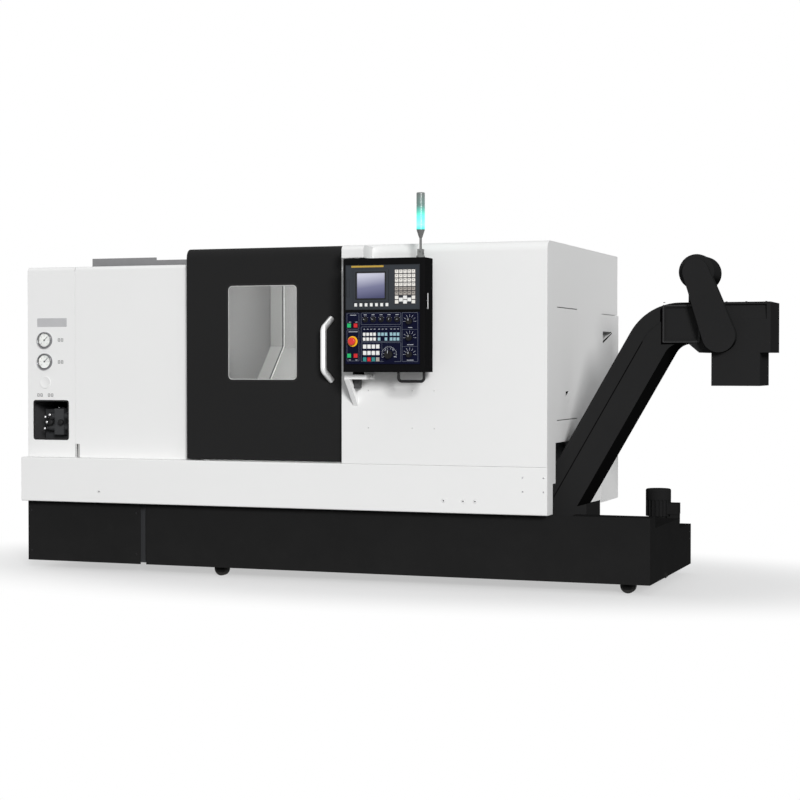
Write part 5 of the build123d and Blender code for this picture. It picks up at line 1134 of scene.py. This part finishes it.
class LATHE_OT_conveyor_trim(bpy.types.Operator):
    """Adds painted shadow lines round the inspection frame and under the raised band, a pale line of painted highlight
    on the frame's face, the cover bolts, and the sheets of the hand recesses with painted shadow along their top edges
    """

    bl_idname = "lathe.conveyor_trim"
    bl_label = "Conveyor trim"

    def execute(self, context):
        plate = 262.0
        shadow_lines = bmesh.new()
        # painted shadow under the raised band of the incline
        add_bar(shadow_lines, (3021, 410), (3530, 1291.5), 5.0, plate + 0.1, plate - 0.6)
        # painted shadow round the inspection frame, and a painted shadow block in the gap between band and frame
        for box in ((3627, 3637, 1276, 1464), (3627, 3746, 1276, 1285), (3684, 3780, 1478, 1484),
                    (3612, 3628, 1392, 1456)):
            add_slab(shadow_lines, rounded_outline(*box, 1.5), plate + 0.1, plate - 0.8)
        show_bmesh("conveyor_shadow_lines", shadow_lines, ("SeamBlack",), "machine")
        # a pale line on the frame's face, painted highlight of its edges
        bm = bmesh.new()
        add_frame(bm, 3638, 3826, 1286, 1477, 2, 3.0, plate - 8.9, plate - 9.4)
        show_bmesh("frame_edge_highlight", bm, ("EdgeGrey",), "machine")
        spots = [(x, y, 329 + (x - 2884.3) * math.sqrt(3)) for x in (3130, 3210, 3290, 3370, 3450) for y in (278, 549)]
        screws("incline_bolts", spots, 6, 3, "ScrewBlack", "machine", facing=(-0.866, 0, 0.5))
        spots = [(x, y, 1489.9) for x in (3640, 3960, 4060, 4160) for y in (278, 549)]
        screws("head_bolts", spots, 6, 3, "ScrewBlack", "machine", facing=(0, 0, 1))
        # sheets close the lower part of the hand recesses in the access panel and the cabinet
        bm = bmesh.new()
        add_slab(bm, [(370.2, 975.2), (439.8, 975.2), (439.8, 1025), (370.2, 1002)], 3090, 3094.5, place=side_place)
        add_slab(bm, [(1200.5, 1160.2), (1425.1, 1160.2), (1425.1, 1352), (1200.5, 1293)], 3090, 3094.5, place=side_place)
        show_bmesh("recess_sheets", bm, ("WhiteCoat",), "machine")
        # near-black bars along the sheets' top edges, painted shadow in the recess openings
        bm = bmesh.new()
        add_slab(bm, [(370.4, 1002.3), (439.6, 1025.3), (439.6, 1029.6), (370.4, 1029.6)], 3084, 3089, place=side_place)
        add_slab(bm, [(1200.7, 1293.3), (1424.9, 1352.3), (1424.9, 1355), (1200.7, 1304)], 3091, 3094.4, place=side_place)
        show_bmesh("recess_shadows", bm, ("SeamBlack",), "machine")
        return {"FINISHED"}


class LATHE_OT_screws(bpy.types.Operator):
    """Adds the screws of the covers, skirt, rear and base"""

    bl_idname = "lathe.screws"
    bl_label = "Screws"

    def execute(self, context):
        radius = context.scene.lathe_look.screw_radius / MM
        screws("cover_screws", [(x, 0.1, z) for x in (2118, 2364, 2486) for z in (838, 1036)], radius * 0.75, 2.0,
               "WhiteCoat", "machine")
        screws("skirt_screws", [(x, 0.1, z) for x in (2965, 3076) for z in (519, 591)], radius, 2.4, "ScrewZinc",
               "machine")
        screws("skirt_plugs", [(x, 0.1, 462) for x in (501, 2537, 2644, 2709)], radius * 1.7, 1.2, "WhiteCoat",
               "machine")
        spots = [(x, 1559.9, z) for x in (40, 480, 920, 1360, 1800) for z in (690, 1180, 1680)]
        screws("rear_screws", spots, radius, 2.4, "ScrewZinc", "machine", facing=(0, 1, 0))
        spots = [(base, 73.1, z) for base in (24, 698) for z in (110, 340)]
        screws("base_screws", spots, radius, 2.4, "ScrewBlack", "machine")
        return {"FINISHED"}


# --------------------------------------------------------------------- stage


class LATHE_OT_stage(bpy.types.Operator):
    """Sets up the pale floor, the soft lights, the camera and the view"""

    bl_idname = "lathe.stage"
    bl_label = "Stage"

    def execute(self, context):
        look = context.scene.lathe_look
        scene = context.scene
        scene.view_settings.view_transform = "Standard"
        self.floor()
        self.world(scene)
        self.distant_light("key_light", Vector((0.52, -0.80, 0.29)), 14, look.lamp_strength)
        self.soft_light("fill_light", at(4300, -5200, 2400), at(2700, 0, 1100), 3.0, 32)
        self.soft_light("top_light", at(1800, 300, 6200), at(1800, 400, 900), 6.0, 60)
        self.soft_light("chamber_light", at(1790, 360, 1660), at(1480, 1000, 1240), 0.35, 13.4)
        camera = bpy.data.cameras.new("photo_camera")
        camera.lens = look.camera_lens
        camera.sensor_width = 36
        camera.clip_end = 200
        holder = bpy.data.objects.new("photo_camera", camera)
        holder.location = at(5534.67, -8904.87, 1173.28)
        holder.rotation_euler = (math.radians(90 - 1.132), 0, math.radians(19.99))
        scene.collection.objects.link(holder)
        scene.camera = holder
        return {"FINISHED"}

    def floor(self):
        mesh = bpy.data.meshes.new("pale_floor")
        mesh.from_pydata([(-60, -60, 0), (60, -60, 0), (60, 60, 0), (-60, 60, 0)], [], [(0, 1, 2, 3)])
        floor = bpy.data.objects.new("pale_floor", mesh)
        bpy.context.scene.collection.objects.link(floor)
        s = Shader("PaleFloor")
        grain = s.put("ShaderNodeTexNoise", Vector=s.coords, Scale=3.0, Detail=3.0)
        pale = s.blend(grain.outputs["Fac"], (0.84, 0.84, 0.84, 1), (0.86, 0.86, 0.86, 1))
        shown = shown_ray(s.tree)
        s.set(Base_Color=s.blend(shown, (0.40, 0.40, 0.40, 1), pale), Roughness=0.8, Specular_IOR_Level=0.1)
        white = s.put("ShaderNodeEmission", Strength=1.0)
        oval = s.put("ShaderNodeVectorMath", {"operation": "MULTIPLY"})
        s.tree.links.new(s.coords, oval.inputs[0])
        oval.inputs[1].default_value = (0.45, 0.9, 1.0)
        reach = s.put("ShaderNodeVectorMath", {"operation": "LENGTH"})
        s.tree.links.new(oval.outputs[0], reach.inputs[0])
        far = s.put("ShaderNodeMapRange", {"interpolation_type": "SMOOTHSTEP"}, Value=reach.outputs["Value"],
                    From_Min=0.85, From_Max=1.6, To_Min=0.5, To_Max=1.0)
        seen = s.put("ShaderNodeMath", {"operation": "MULTIPLY"})
        s.tree.links.new(far.outputs[0], seen.inputs[0])
        s.tree.links.new(shown, seen.inputs[1])
        mix = s.put("ShaderNodeMixShader", Fac=seen.outputs[0])
        s.tree.links.new(s.bsdf.outputs[0], mix.inputs[1])
        s.tree.links.new(white.outputs[0], mix.inputs[2])
        s.tree.links.new(mix.outputs[0], s.out.inputs[0])
        mesh.materials.append(s.material)

    def world(self, scene):
        world = bpy.data.worlds.new("studio")
        scene.world = world
        world.use_nodes = True
        tree = world.node_tree
        tree.nodes.clear()
        out = tree.nodes.new("ShaderNodeOutputWorld")
        soft = put_node(tree, "ShaderNodeBackground", {}, {"Color": (0.97, 0.985, 1.0, 1), "Strength": 0.26})
        white = put_node(tree, "ShaderNodeBackground", {}, {"Color": (1, 1, 1, 1), "Strength": 1.0})
        mix = put_node(tree, "ShaderNodeMixShader", {}, {"Fac": shown_ray(tree)})
        tree.links.new(soft.outputs[0], mix.inputs[1])
        tree.links.new(white.outputs[0], mix.inputs[2])
        tree.links.new(mix.outputs[0], out.inputs[0])

    def distant_light(self, name, direction, spread, strength):
        light = bpy.data.lights.new(name, "SUN")
        light.angle = math.radians(spread)
        light.energy = strength
        holder = bpy.data.objects.new(name, light)
        holder.location = direction * 6
        holder.rotation_euler = (-direction).to_track_quat("-Z", "Y").to_euler()
        bpy.context.scene.collection.objects.link(holder)

    def soft_light(self, name, place, target, size, power):
        light = bpy.data.lights.new(name, "AREA")
        light.shape = "DISK"
        light.size = size
        light.energy = power
        holder = bpy.data.objects.new(name, light)
        holder.location = place
        holder.rotation_euler = (Vector(target) - Vector(place)).to_track_quat("-Z", "Y").to_euler()
        bpy.context.scene.collection.objects.link(holder)


class LATHE_PT_dressing(bpy.types.Panel):
    """Lists the dressing steps and the look's values"""

    bl_label = "Turning Lathe"
    bl_idname = "LATHE_PT_dressing"
    bl_space_type = "VIEW_3D"
    bl_region_type = "UI"
    bl_category = "Lathe"

    def draw(self, context):
        look = context.scene.lathe_look
        for name in LatheLook.__annotations__:
            self.layout.prop(look, name)
        for step in STEPS:
            self.layout.operator(step.bl_idname)


STEPS = (LATHE_OT_finishes, LATHE_OT_stage, LATHE_OT_display, LATHE_OT_operator_panel, LATHE_OT_gauges,
         LATHE_OT_plates, LATHE_OT_valves, LATHE_OT_door_trim, LATHE_OT_end_trim,
         LATHE_OT_conveyor_trim, LATHE_OT_screws)
CLASSES = (LatheLook,) + STEPS + (LATHE_PT_dressing,)


def register():
    for part in CLASSES:
        bpy.utils.register_class(part)
    bpy.types.Scene.lathe_look = PointerProperty(type=LatheLook)


def unregister():
    del bpy.types.Scene.lathe_look
    for part in reversed(CLASSES):
        bpy.utils.unregister_class(part)


def main():
    register()
    for step in STEPS:
        getattr(bpy.ops.lathe, step.bl_idname.split(".")[1])()


if __name__ == "__main__":
    main()
